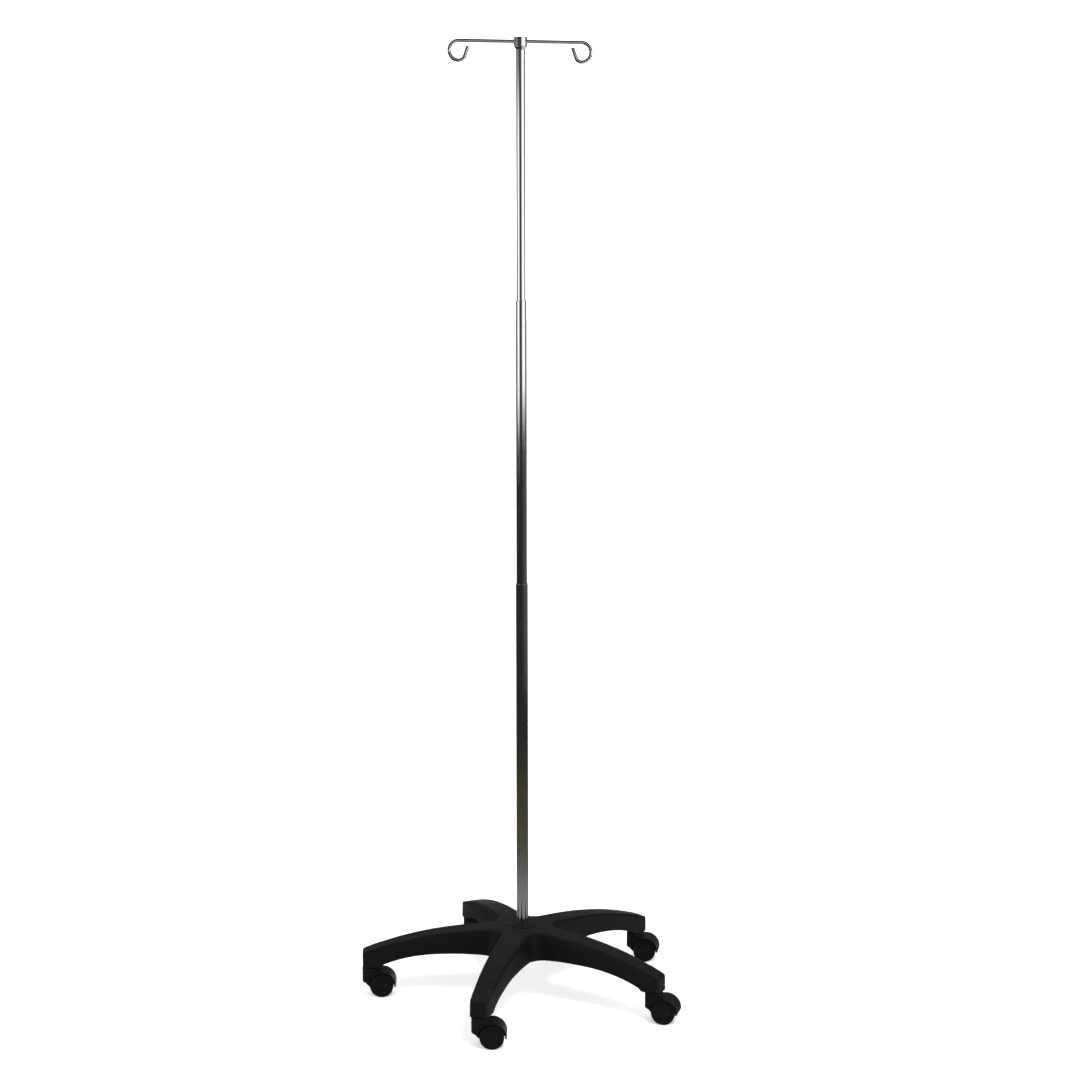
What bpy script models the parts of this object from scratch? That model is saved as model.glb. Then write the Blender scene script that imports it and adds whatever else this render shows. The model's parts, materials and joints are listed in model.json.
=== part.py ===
"""Mobile infusion (IV) pole: a five-leg nylon base on twin-wheel casters, three telescoping chromed
tubes with a hidden twist lock at each joint, and a two-hook rod welded through a steel cap.

Metres, +Z up. The origin is on the pole's axis at floor level.
"""

from math import atan2, cos, pi, radians, sin

import bmesh
import bpy
from mathutils import Matrix, Vector

# ---------------------------------------------------------------- driving dimensions
CLEARANCE = 0.0003            # gap kept between pieces that touch

# base
LEG_COUNT = 5
FIRST_LEG_ANGLE = radians(182.9)
BASE_RADIUS = 0.340           # pole axis to the end face of a leg
HUB_TOP = 0.1470
HUB_UNDERSIDE = 0.0880
HUB_FLAT_RADIUS = 0.034       # the hub is level inside this radius
HUB_RECESS_RADIUS = 0.0262    # round recess that takes the bushing's flange
HUB_RECESS_FLOOR = 0.1448
LEG_DROP = 0.0505             # how far a leg's top falls from the hub to its end
LEG_DROP_POWER = 2.6
ARCH_HEIGHT = 0.0957          # highest point under a leg
ARCH_RADIUS = 0.145           # and how far that is from the pole axis
ARCH_DROP = 0.0245            # fall of the arch from there to the end block
ARCH_POWER = 2.6
HUB_ARCH_DROP = 0.0080        # fall of the arch from there towards the hub
END_BLOCK_START = 0.297       # the legs end in blocks that hold the caster sockets
END_BLOCK_UNDERSIDE = 0.0645
# Half widths of a leg's plan at two heights: extrapolated to the pole axis, and at the end face.
LOW_PLAN_HEIGHT = 0.085
LOW_HALF_WIDTHS = (0.0465, 0.0182)
HIGH_PLAN_HEIGHT = 0.140
HIGH_HALF_WIDTHS = (0.0315, 0.0175)
CROTCH_RADIUS = 0.026
LEG_CORNER_RADIUS = 0.007
SHELL_WALL = 0.0045
RIB_THICKNESS = 0.003
CROSS_RIB_RADII = (0.165,)
HUB_WALL_RADIUS = 0.034
HUB_HOLE_RADIUS = 0.024
STAR_STEPS = 12 * LEG_COUNT   # facets round the turned surfaces of the base

# pole
TUBE_WALL = 0.0012
LOWER_TUBE_RADIUS = 0.0125
MID_TUBE_RADIUS = 0.0110
UPPER_TUBE_RADIUS = 0.0095
LOWER_LIP_HEIGHT = 0.882
MID_LIP_HEIGHT = 1.467
MID_OVERLAP = 0.150           # length of the middle tube inside the lower one
UPPER_OVERLAP = 0.130
LIP_CHAMFER = 0.0005
TUBE_SIDES = 32

# pole fixing
BUSHING_FLANGE_RADIUS = 0.0255
BUSHING_FLANGE_HEIGHT = 0.0027
FOOT_PLUG_LENGTH = 0.038
BOLT_RADIUS = 0.005
BOLT_REACH = 0.026            # thread length inside the foot plug
BOLT_HEAD_RADIUS = 0.0092
BOLT_HEAD_HEIGHT = 0.0064
BUSHING_EDGE = 0.0008         # bevel round the bushing's flange
WASHER_RADIUS = 0.0290
WASHER_THICKNESS = 0.0030
SPRING_WASHER_RADIUS = 0.0085
SPRING_WASHER_THICKNESS = 0.0020
SPRING_WASHER_SPLIT = 0.0012

# hook
POLE_HEIGHT = 1.993
CAP_RADIUS = 0.0133
CAP_EDGE = 0.001
CAP_LENGTH = 0.0195
CAP_NECK_LENGTH = 0.0055
CAP_SPIGOT_LENGTH = 0.030
HOOK_DROP = 0.0090            # hook rod below the top of the cap
HOOK_ROD_RADIUS = 0.0040
HOOK_HALF_SPAN = 0.1500       # pole axis to the outside of a loop
HOOK_LOOP_RADIUS = 0.0193     # half turn from the arm to the bottom, to the middle of the rod
HOOK_CURL_RADIUS = 0.0131     # tighter bend from the bottom towards the tip
HOOK_CURL_SWEEP = radians(71)
HOOK_TIP_LENGTH = 0.0206      # straight end after the tighter bend
HOOK_ANGLE = radians(13.0)

# casters
WHEEL_RADIUS = 0.025
WHEEL_WIDTH = 0.0165
WHEEL_SIDES = 20              # a multiple of 4, so that a wheel stands on a flat
WHEEL_INNER_FACE = 0.0062     # from the middle of the caster
WHEEL_OUTER_EDGE = 0.0022
WHEEL_INNER_EDGE = 0.0015
WHEEL_DISH = (0.0090, 0.0195) # radii of the ring sunk into the wheel's outer face
WHEEL_DISH_DEPTH = 0.0012
WHEEL_END_WALL = 0.0025       # closes the axle's bore
CASTER_RADIUS = 0.322         # pole axis to a swivel axis
CASTER_TRAIL = 0.0225         # swivel axis to axle
CASTER_ANGLES = tuple(radians(turn) for turn in (1, -1, -16, -10, 6))
BOSS_RADIUS = 0.0190
BOSS_TOP = 0.0622
BOSS_UNDERSIDE = 0.0280
BOSS_TOP_EDGE = 0.0015
BOSS_LOWER_EDGE = 0.0040
WEB_HALF_WIDTH = 0.0056
WEB_SET_IN = 0.0008           # web inside the hood's outer face
NOSE_BACK = (-0.0160, 0.0500) # top of the web's front edge, as (x, z) from the swivel axis
NOSE_CORNER = (-0.0160, 0.0305)
NOSE_FOOT = (-0.0045, 0.0175)
WEB_FOOT_RADIUS = 0.0085      # web below the axle
HOOD_RADIUS = 0.0300
HOOD_THICKNESS = 0.0024
HOOD_HALF_WIDTH = 0.0232
HOOD_TAIL_ANGLE = radians(-4)
HOOD_FRONT_ANGLE = radians(140)
AXLE_RADIUS = 0.0030
STEM_RADIUS = 0.0055
STEM_FLANGE_RADIUS = 0.0085
STEM_TOP = 0.0875
STEM_EDGE = 0.001
STEM_PIVOT_RADIUS = 0.0040
STEM_HEAD_RADIUS = 0.0048
STEM_HEAD_HEIGHTS = (0.032, 0.035)
SOCKET_RADIUS = 0.0068
SOCKET_TOP = 0.0885
SOCKET_ROOF = 0.0007

# twist locks
LOWER_STUD_RADIUS = 0.0040
UPPER_STUD_RADIUS = 0.0030
STUD_SINK = 0.004             # stud's upper end below the plug's
STUD_COLLAR_RIM = 0.0012
STUD_COLLAR_HEIGHT = 0.0022
STUD_OVERHANG = 0.007         # stud's lower end below the cone
LOCK_PLUG_DEPTH = 0.030
LOCK_FLANGE = 0.0030
LOCK_PLAY = 0.0005            # between the plug's flange or the cone's key and the outer tube
SLEEVE_LENGTH = 0.037
SLEEVE_ROOF = 0.008
SLEEVE_WALL = 0.0021          # at the sleeve's open end
SLEEVE_SLOT = 0.0030
SLOT_END = 0.002              # between the slot and the sleeve's roof
CONE_LENGTH = 0.022
CONE_TAPER = 0.0020           # how much wider the cone is at its lower end
KEY_INSET = 0.0015            # how far the cone's key is let into it
KEY_LOW = 0.001
KEY_HIGH = 0.005


# ---------------------------------------------------------------- materials
def material(name, colour, roughness, metallic=0.0):
    made = bpy.data.materials.new(name)
    made.use_nodes = True
    shader = made.node_tree.nodes["Principled BSDF"]
    shader.inputs["Base Color"].default_value = (*colour, 1.0)
    shader.inputs["Roughness"].default_value = roughness
    shader.inputs["Metallic"].default_value = metallic
    return made


def make_materials():
    return {
        "nylon": material("black_nylon", (0.016, 0.018, 0.016), 0.45),
        "wheel": material("wheel_nylon", (0.012, 0.013, 0.012), 0.38),
        "chrome": material("chrome", (0.78, 0.78, 0.78), 0.08, 1.0),
        "steel": material("zinc_steel", (0.62, 0.63, 0.62), 0.30, 1.0),
        "acetal": material("natural_acetal", (0.80, 0.79, 0.74), 0.40),
    }


# ---------------------------------------------------------------- mesh helpers
def new_object(name, bm, surface=None, parent=None):
    """An object from a finished bmesh, smooth except at real edges."""
    bmesh.ops.remove_doubles(bm, verts=bm.verts, dist=1e-6)
    bmesh.ops.recalc_face_normals(bm, faces=bm.faces)
    mesh = bpy.data.meshes.new(name)
    bm.to_mesh(mesh)
    bm.free()
    return place(name, mesh, surface, parent)


def place(name, mesh, surface=None, parent=None):
    mesh.shade_smooth()
    mesh.set_sharp_from_angle(angle=radians(32))
    if surface:
        mesh.materials.clear()
        mesh.materials.append(surface)
    made = bpy.data.objects.new(name, mesh)
    bpy.context.scene.collection.objects.link(made)
    made.parent = parent
    return made


def empty(name, location, turn=0.0, parent=None):
    made = bpy.data.objects.new(name, None)
    bpy.context.scene.collection.objects.link(made)
    made.location = location
    made.rotation_euler.z = turn
    made.parent = parent
    return made


def spun(name, profile, steps, surface=None, parent=None, closed=True, phase=0.0):
    """A profile of (radius, height) points turned about Z. An open one starts and ends on the axis."""
    bm = bmesh.new()
    start = Matrix.Rotation(phase, 3, "Z")
    verts = [bm.verts.new(start @ Vector((radius, 0, height))) for radius, height in profile]
    edges = [bm.edges.new(pair) for pair in zip(verts, verts[1:])]
    if closed:
        edges.append(bm.edges.new((verts[-1], verts[0])))
    bmesh.ops.spin(bm, geom=verts + edges, cent=(0, 0, 0), axis=(0, 0, 1), steps=steps,
                   angle=2 * pi)
    return new_object(name, bm, surface, parent)


def ring(name, inner, outer, low, high, steps, surface=None, parent=None):
    """A plain tube or washer about Z."""
    profile = ((inner, high), (outer, high), (outer, low), (inner, low))
    return spun(name, profile, steps, surface, parent)


def rod(name, radius, low, high, steps, surface=None, parent=None):
    """A plain cylinder about Z."""
    profile = ((0, high), (radius, high), (radius, low), (0, low))
    return spun(name, profile, steps, surface, parent, closed=False)


def extruded(name, outline, near, far, surface=None, parent=None):
    """An outline of (x, z) points extruded along Y."""
    bm = bmesh.new()
    face = bm.faces.new([bm.verts.new((x, near, z)) for x, z in outline])
    grown = bmesh.ops.extrude_face_region(bm, geom=[face])["geom"]
    moved = [item for item in grown if isinstance(item, bmesh.types.BMVert)]
    bmesh.ops.translate(bm, verts=moved, vec=(0, far - near, 0))
    return new_object(name, bm, surface, parent)


def box(name, low, high):
    bm = bmesh.new()
    bmesh.ops.create_cube(bm, size=1)
    size = Vector(high) - Vector(low)
    middle = (Vector(high) + Vector(low)) / 2
    to_size = Matrix.Translation(middle) @ Matrix.Diagonal((*size, 1))
    bmesh.ops.transform(bm, verts=bm.verts, matrix=to_size)
    return new_object(name, bm)


def combine(target, tool, operation, solver="EXACT"):
    """Join, cut or intersect the target with the tool, which is used up."""
    modifier = target.modifiers.new(operation.title(), "BOOLEAN")
    modifier.operation = operation
    modifier.solver = solver
    modifier.object = tool
    bpy.context.view_layer.update()
    evaluated = target.evaluated_get(bpy.context.evaluated_depsgraph_get())
    result = bpy.data.meshes.new_from_object(evaluated)
    target.modifiers.clear()
    target.data = result
    bpy.data.objects.remove(tool)
    return target


def baked(target):
    """The object's mesh in its parent's frame. The object is used up."""
    mesh = target.data
    mesh.transform(target.matrix_basis)
    bpy.data.objects.remove(target)
    return mesh


def arc(centre, radius, start, end, steps):
    """Points along an arc, both ends included."""
    turn = (end - start) / steps
    return [
        (centre[0] + radius * cos(start + turn * i), centre[1] + radius * sin(start + turn * i))
        for i in range(steps + 1)
    ]


# ---------------------------------------------------------------- base
def leg_angle(index):
    return FIRST_LEG_ANGLE + 2 * pi * index / LEG_COUNT


def leg_top(radius):
    return HUB_TOP - LEG_DROP * (radius / BASE_RADIUS) ** LEG_DROP_POWER


def leg_underside(radius):
    if radius < ARCH_RADIUS:
        share = (ARCH_RADIUS - radius) / (ARCH_RADIUS - 2 * HUB_HOLE_RADIUS)
        return ARCH_HEIGHT - HUB_ARCH_DROP * share**2
    share = (radius - ARCH_RADIUS) / (END_BLOCK_START - ARCH_RADIUS)
    return ARCH_HEIGHT - ARCH_DROP * share**ARCH_POWER


def star_outline(height, inset=0.0):
    """The base's plan at this height as (x, y) points, moved in by the inset."""
    share = (height - LOW_PLAN_HEIGHT) / (HIGH_PLAN_HEIGHT - LOW_PLAN_HEIGHT)
    widths = [low + share * (high - low) for low, high in zip(LOW_HALF_WIDTHS, HIGH_HALF_WIDTHS)]
    at_axis, at_end = widths
    slope = (at_axis - at_end) / BASE_RADIUS
    lean = atan2(slope, 1)                      # how far the sides turn in towards the end
    at_axis -= inset / cos(lean)
    half_sector = pi / LEG_COUNT
    # The crotch fillet is tangent to both legs beside it, and its centre is on the line between them.
    fillet = CROTCH_RADIUS + inset
    reach = (fillet / cos(lean) + at_axis) / (sin(half_sector) + slope * cos(half_sector))
    crotch = (reach * cos(half_sector), reach * sin(half_sector))
    end = BASE_RADIUS - inset
    corner_x = end - LEG_CORNER_RADIUS
    corner_y = at_axis - slope * corner_x - LEG_CORNER_RADIUS / cos(lean)
    crotch_arc = arc(crotch, fillet, -pi / 2 - lean, 2 * half_sector + pi / 2 + lean - 2 * pi, 8)
    right_corner = arc((corner_x, -corner_y), LEG_CORNER_RADIUS, lean - pi / 2, 0, 3)
    left_corner = arc((corner_x, corner_y), LEG_CORNER_RADIUS, 0, pi / 2 - lean, 3)
    points = []
    for index in range(LEG_COUNT):
        turn = Matrix.Rotation(leg_angle(index), 2)
        points += [turn @ Vector(point) for point in right_corner + left_corner + crotch_arc]
    return points


def star_prism(name, low, high, inset=0.0):
    """The base's plan between two heights, with the legs' sloping sides."""
    bm = bmesh.new()
    rings = []
    for height in (low, high):
        rings.append([bm.verts.new((*point, height)) for point in star_outline(height, inset)])
        bm.faces.new(rings[-1])
    count = len(rings[0])
    for i in range(count):
        after = (i + 1) % count
        bm.faces.new((rings[0][i], rings[0][after], rings[1][after], rings[1][i]))
    return new_object(name, bm)


def radii_between(first, last, count):
    return [first + (last - first) * i / (count - 1) for i in range(count)]


def arched_disc(name):
    """The solid between the legs' undersides and tops, turned about the pole axis."""
    beyond = BASE_RADIUS + 0.01
    top = [(0, HUB_TOP)]
    top += [(r, leg_top(r)) for r in radii_between(HUB_FLAT_RADIUS, beyond, 9)]
    under = [(beyond, END_BLOCK_UNDERSIDE), (END_BLOCK_START + 0.007, END_BLOCK_UNDERSIDE)]
    inwards = reversed(radii_between(2 * HUB_HOLE_RADIUS, END_BLOCK_START, 8))
    under += [(r, leg_underside(r)) for r in inwards]
    under += [(0, HUB_UNDERSIDE)]
    return spun(name, top + under, STAR_STEPS, closed=False, phase=FIRST_LEG_ANGLE)


def rib_plates(low, high):
    """One upright plate along the middle of each leg."""
    bm = bmesh.new()
    start = 4 * RIB_THICKNESS
    size = (BASE_RADIUS - start, RIB_THICKNESS, high - low)
    middle = Matrix.Translation((start + size[0] / 2, 0, (low + high) / 2))
    for index in range(LEG_COUNT):
        turn = Matrix.Rotation(leg_angle(index), 4, "Z")
        bmesh.ops.create_cube(bm, size=1, matrix=turn @ middle @ Matrix.Diagonal((*size, 1)))
    return new_object("rib_plates", bm)


def pocket_cutters():
    """The hollows under the base, between the hub wall, the cross ribs and the end blocks."""
    low = END_BLOCK_UNDERSIDE - 0.01
    edges = (HUB_WALL_RADIUS, *CROSS_RIB_RADII, END_BLOCK_START - SHELL_WALL)
    for inner, outer in zip(edges, edges[1:]):
        reach = radii_between(inner + RIB_THICKNESS / 2, outer - RIB_THICKNESS / 2, 4)
        roof = [(radius, leg_top(radius) - SHELL_WALL) for radius in reach]
        profile = roof + [(reach[-1], low), (reach[0], low)]
        cutter = spun("bay", profile, STAR_STEPS, phase=FIRST_LEG_ANGLE)
        inside = star_prism("inside", low - 0.01, HUB_TOP, SHELL_WALL)
        combine(cutter, inside, "INTERSECT", "MANIFOLD")
        yield combine(cutter, rib_plates(low - 0.01, HUB_TOP), "DIFFERENCE", "MANIFOLD")


def socket_place(index):
    angle = leg_angle(index)
    return Vector((CASTER_RADIUS * cos(angle), CASTER_RADIUS * sin(angle), 0))


def make_base(paint, root):
    star = star_prism("base_star", END_BLOCK_UNDERSIDE - 0.005, HUB_TOP + 0.01)
    combine(star, arched_disc("arch"), "INTERSECT", "MANIFOLD")
    for cutter in pocket_cutters():
        combine(star, cutter, "DIFFERENCE", "MANIFOLD")
    combine(star, rod("hub_hole", HUB_HOLE_RADIUS, 0.05, 0.2, 32), "DIFFERENCE", "MANIFOLD")
    recess = rod("hub_recess", HUB_RECESS_RADIUS, HUB_RECESS_FLOOR, 0.2, 32)
    combine(star, recess, "DIFFERENCE", "MANIFOLD")
    for index in range(LEG_COUNT):
        hole = rod("socket_hole", SOCKET_RADIUS + CLEARANCE, 0.05, SOCKET_TOP + CLEARANCE, 20)
        hole.location = socket_place(index)
        combine(star, hole, "DIFFERENCE", "MANIFOLD")
    place("base_star", baked(star), paint["nylon"], root)


def make_pole_fixing(paint, root):
    """The bushing in the hub and the bolt that pulls the pole's foot down into it."""
    foot = HUB_UNDERSIDE + CLEARANCE
    bore = LOWER_TUBE_RADIUS + CLEARANCE
    flange_under = HUB_RECESS_FLOOR + CLEARANCE
    flange_top = flange_under + BUSHING_FLANGE_HEIGHT
    body = HUB_HOLE_RADIUS - CLEARANCE
    profile = (
        (bore, flange_top), (BUSHING_FLANGE_RADIUS - BUSHING_EDGE, flange_top),
        (BUSHING_FLANGE_RADIUS, flange_top - BUSHING_EDGE), (BUSHING_FLANGE_RADIUS, flange_under),
        (body, flange_under), (body, foot), (bore, foot),
    )
    spun("pole_bushing", profile, 32, paint["nylon"], root)

    plug_radius = LOWER_TUBE_RADIUS - TUBE_WALL - CLEARANCE
    thread = BOLT_RADIUS + CLEARANCE
    ring("foot_plug", thread, plug_radius, foot, foot + FOOT_PLUG_LENGTH, 24, paint["steel"], root)
    under = HUB_UNDERSIDE - CLEARANCE
    washer_under = under - WASHER_THICKNESS
    ring("clamp_washer", thread, WASHER_RADIUS, washer_under, under, 32, paint["steel"], root)
    spring_top = washer_under - CLEARANCE
    make_spring_washer(thread, spring_top, paint, root)
    head_top = spring_top - SPRING_WASHER_THICKNESS - CLEARANCE
    bolt = rod("base_bolt", BOLT_RADIUS, head_top - 0.001, foot + BOLT_REACH, 16)
    head = rod("head", BOLT_HEAD_RADIUS, head_top - BOLT_HEAD_HEIGHT, head_top, 6)
    combine(bolt, head, "UNION")
    place("base_bolt", baked(bolt), paint["steel"], root)


def make_spring_washer(inner, top, paint, root):
    washer = ring("spring_washer", inner, SPRING_WASHER_RADIUS, top - SPRING_WASHER_THICKNESS, top, 24)
    half_split = SPRING_WASHER_SPLIT / 2
    split = box("split", (0, -half_split, top - 0.01), (0.02, half_split, top + 0.01))
    split.rotation_euler.z = radians(7)         # clear of the ring's facet edges
    combine(washer, split, "DIFFERENCE")
    place("spring_washer", baked(washer), paint["steel"], root)


# ---------------------------------------------------------------- pole
def make_tube(name, radius, low, high, paint, parent):
    """A chromed tube whose upper lip is broken inside and out."""
    inner = radius - TUBE_WALL
    profile = (
        (inner, high - LIP_CHAMFER), (inner + LIP_CHAMFER, high), (radius - LIP_CHAMFER, high),
        (radius, high - LIP_CHAMFER), (radius, low), (inner, low),
    )
    return spun(name, profile, TUBE_SIDES, paint["chrome"], parent)


def make_lock(name, tube_bore, outer_bore, stud_radius, paint, tube, sleeve, cone):
    """A twist lock below a tube's lower end, which is at height 0 of its empties.

    Turning the tube turns the stud, which draws the cone up into the split sleeve and spreads it.
    """
    thread = stud_radius + CLEARANCE
    flange_radius = outer_bore - LOCK_PLAY
    plug = (
        (thread, LOCK_PLUG_DEPTH), (tube_bore - CLEARANCE, LOCK_PLUG_DEPTH),
        (tube_bore - CLEARANCE, -CLEARANCE), (flange_radius, -CLEARANCE),
        (flange_radius, -LOCK_FLANGE), (thread, -LOCK_FLANGE),
    )
    spun(f"{name}_lock_plug", plug, 24, paint["acetal"], tube)

    sleeve_top = -LOCK_FLANGE - CLEARANCE
    roof = sleeve_top - SLEEVE_ROOF
    sleeve_low = sleeve_top - SLEEVE_LENGTH
    cone_high = sleeve_low + CONE_LENGTH
    stud_top = LOCK_PLUG_DEPTH - STUD_SINK
    stud_low = sleeve_low - STUD_OVERHANG
    collar_radius = stud_radius + STUD_COLLAR_RIM
    collar_top = roof - CLEARANCE
    collar_low = collar_top - STUD_COLLAR_HEIGHT
    stud = (
        (0, stud_top), (stud_radius, stud_top), (stud_radius, collar_top), (collar_radius, collar_top),
        (collar_radius, collar_low), (stud_radius, collar_low), (stud_radius, stud_low), (0, stud_low),
    )
    spun(f"{name}_lock_stud", stud, 16, paint["steel"], tube, closed=False)

    outer = outer_bore - CLEARANCE
    low_radius = outer - SLEEVE_WALL - CLEARANCE
    high_radius = low_radius - CONE_TAPER
    radii = (thread, outer, low_radius, high_radius)
    make_sleeve(name, radii, (sleeve_top, roof, cone_high, sleeve_low), paint, sleeve)
    make_cone(name, radii, (sleeve_low, cone_high), paint, cone)


def make_sleeve(name, radii, heights, paint, parent):
    bore, outer, low_radius, high_radius = radii
    top, roof, cone_high, low = heights
    profile = (
        (bore, top), (outer, top), (outer, low), (low_radius + CLEARANCE, low),
        (high_radius + CLEARANCE, cone_high), (high_radius + CLEARANCE, roof), (bore, roof),
    )
    sleeve = spun("sleeve", profile, 28)
    slot = box("slot", (0, -SLEEVE_SLOT / 2, low - 0.01), (0.02, SLEEVE_SLOT / 2, roof - SLOT_END))
    combine(sleeve, slot, "DIFFERENCE")
    place(f"{name}_lock_sleeve", baked(sleeve), paint["acetal"], parent)


def make_cone(name, radii, heights, paint, parent):
    """The tapered nut, with a key that runs in the sleeve's slot and keeps it from turning."""
    bore, outer, low_radius, high_radius = radii
    low, high = heights
    profile = ((bore, high), (high_radius, high), (low_radius, low), (bore, low))
    nut = spun("nut", profile, 20)
    half_key = SLEEVE_SLOT / 2 - CLEARANCE
    key = box("key", (high_radius - KEY_INSET, -half_key, low + KEY_LOW),
              (outer - LOCK_PLAY, half_key, high - KEY_HIGH))
    combine(nut, key, "UNION")
    place(f"{name}_lock_cone", baked(nut), paint["steel"], parent)


def make_pole(paint, root):
    """The three tubes, each hung from the lock that holds it. Returns the empty that carries the hook."""
    make_tube("lower_tube", LOWER_TUBE_RADIUS, HUB_UNDERSIDE + CLEARANCE, LOWER_LIP_HEIGHT, paint, root)

    mid_foot = LOWER_LIP_HEIGHT - MID_OVERLAP
    mid_sleeve = empty("mid_height_axis", (0, 0, mid_foot), parent=root)
    mid_turn = empty("mid_twist_axis", (0, 0, 0), parent=mid_sleeve)
    mid_cone = empty("mid_cone_axis", (0, 0, 0), parent=mid_sleeve)
    make_tube("mid_tube", MID_TUBE_RADIUS, 0, MID_LIP_HEIGHT - mid_foot, paint, mid_turn)
    make_lock("mid", MID_TUBE_RADIUS - TUBE_WALL, LOWER_TUBE_RADIUS - TUBE_WALL, LOWER_STUD_RADIUS,
              paint, mid_turn, mid_sleeve, mid_cone)

    upper_foot = MID_LIP_HEIGHT - UPPER_OVERLAP
    upper_sleeve = empty("upper_height_axis", (0, 0, upper_foot - mid_foot), parent=mid_turn)
    upper_turn = empty("upper_twist_axis", (0, 0, 0), parent=upper_sleeve)
    upper_cone = empty("upper_cone_axis", (0, 0, 0), parent=upper_sleeve)
    tube_top = POLE_HEIGHT - CAP_LENGTH - CAP_NECK_LENGTH - CLEARANCE
    make_tube("upper_tube", UPPER_TUBE_RADIUS, 0, tube_top - upper_foot, paint, upper_turn)
    make_lock("upper", UPPER_TUBE_RADIUS - TUBE_WALL, MID_TUBE_RADIUS - TUBE_WALL, UPPER_STUD_RADIUS,
              paint, upper_turn, upper_sleeve, upper_cone)
    return empty("hook_mount", (0, 0, POLE_HEIGHT - upper_foot), parent=upper_turn)


# ---------------------------------------------------------------- hook
def make_cap(paint, parent):
    """The steel cap, whose neck narrows to the tube and whose spigot fits inside it."""
    spigot = UPPER_TUBE_RADIUS - TUBE_WALL - CLEARANCE
    shoulder = -CAP_LENGTH - CAP_NECK_LENGTH
    profile = (
        (0, 0), (CAP_RADIUS - CAP_EDGE, 0), (CAP_RADIUS, -CAP_EDGE), (CAP_RADIUS, -CAP_LENGTH),
        (UPPER_TUBE_RADIUS, shoulder), (spigot, shoulder), (spigot, shoulder - CAP_SPIGOT_LENGTH),
        (0, shoulder - CAP_SPIGOT_LENGTH),
    )
    cap = spun("cap", profile, 32, closed=False)
    cross_hole = rod("cross_hole", HOOK_ROD_RADIUS + CLEARANCE, -0.03, 0.03, 16)
    lay_along = Matrix.Rotation(HOOK_ANGLE, 4, "Z") @ Matrix.Rotation(pi / 2, 4, "Y")
    cross_hole.matrix_basis = Matrix.Translation((0, 0, -HOOK_DROP)) @ lay_along
    combine(cap, cross_hole, "DIFFERENCE")
    place("hook_cap", baked(cap), paint["chrome"], parent)


def hook_path():
    """The rod's centre line as (along, height) points from one tip to the other."""
    centre = (HOOK_HALF_SPAN - HOOK_ROD_RADIUS - HOOK_LOOP_RADIUS, -HOOK_LOOP_RADIUS)
    loop = arc(centre, HOOK_LOOP_RADIUS, pi / 2, -pi / 2, 12)
    curl_centre = (centre[0], HOOK_CURL_RADIUS - 2 * HOOK_LOOP_RADIUS)
    end_angle = -pi / 2 - HOOK_CURL_SWEEP
    curl = arc(curl_centre, HOOK_CURL_RADIUS, -pi / 2, end_angle, 6)
    heading = Vector((sin(end_angle), -cos(end_angle)))
    tip = Vector(curl[-1]) + heading * HOOK_TIP_LENGTH
    half = [*loop, *curl[1:], tuple(tip)]
    return [(-along, height) for along, height in reversed(half)] + half


def make_hook_bar(paint, parent):
    curve = bpy.data.curves.new("hook_bar", "CURVE")
    curve.dimensions = "3D"
    curve.bevel_depth = HOOK_ROD_RADIUS
    curve.bevel_resolution = 3
    curve.use_fill_caps = True
    path = hook_path()
    spline = curve.splines.new("POLY")
    spline.points.add(len(path) - 1)
    for point, (along, height) in zip(spline.points, path):
        point.co = (along, 0, height, 1)
    curve.materials.append(paint["chrome"])
    bar = bpy.data.objects.new("hook_bar", curve)
    bpy.context.scene.collection.objects.link(bar)
    bar.parent = parent
    bar.location.z = -HOOK_DROP
    bar.rotation_euler.z = HOOK_ANGLE


# ---------------------------------------------------------------- casters
def stem_mesh():
    """The steel stem: a grip part held in the leg's socket, a flange, and the pivot with its head."""
    flange_top = END_BLOCK_UNDERSIDE - CLEARANCE
    flange_low = BOSS_TOP + CLEARANCE
    head_low, head_high = STEM_HEAD_HEIGHTS
    profile = (
        (0, STEM_TOP), (STEM_RADIUS - STEM_EDGE, STEM_TOP), (STEM_RADIUS, STEM_TOP - STEM_EDGE),
        (STEM_RADIUS, flange_top), (STEM_FLANGE_RADIUS, flange_top), (STEM_FLANGE_RADIUS, flange_low),
        (STEM_PIVOT_RADIUS, flange_low), (STEM_PIVOT_RADIUS, head_high + STEM_EDGE),
        (STEM_HEAD_RADIUS, head_high), (STEM_HEAD_RADIUS, head_low), (0, head_low),
    )
    return baked(spun("stem", profile, 12, closed=False))


def socket_mesh():
    """The thin steel sleeve pressed into a leg's end, closed at its top."""
    bore = STEM_RADIUS + CLEARANCE
    roof = SOCKET_TOP - SOCKET_ROOF
    profile = (
        (0, SOCKET_TOP), (SOCKET_RADIUS, SOCKET_TOP), (SOCKET_RADIUS, END_BLOCK_UNDERSIDE),
        (bore, END_BLOCK_UNDERSIDE), (bore, roof), (0, roof),
    )
    return baked(spun("socket", profile, 12, closed=False))


def axle_outline(radius, start, end, steps):
    return arc((CASTER_TRAIL, WHEEL_RADIUS), radius, start, end, steps)


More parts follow.
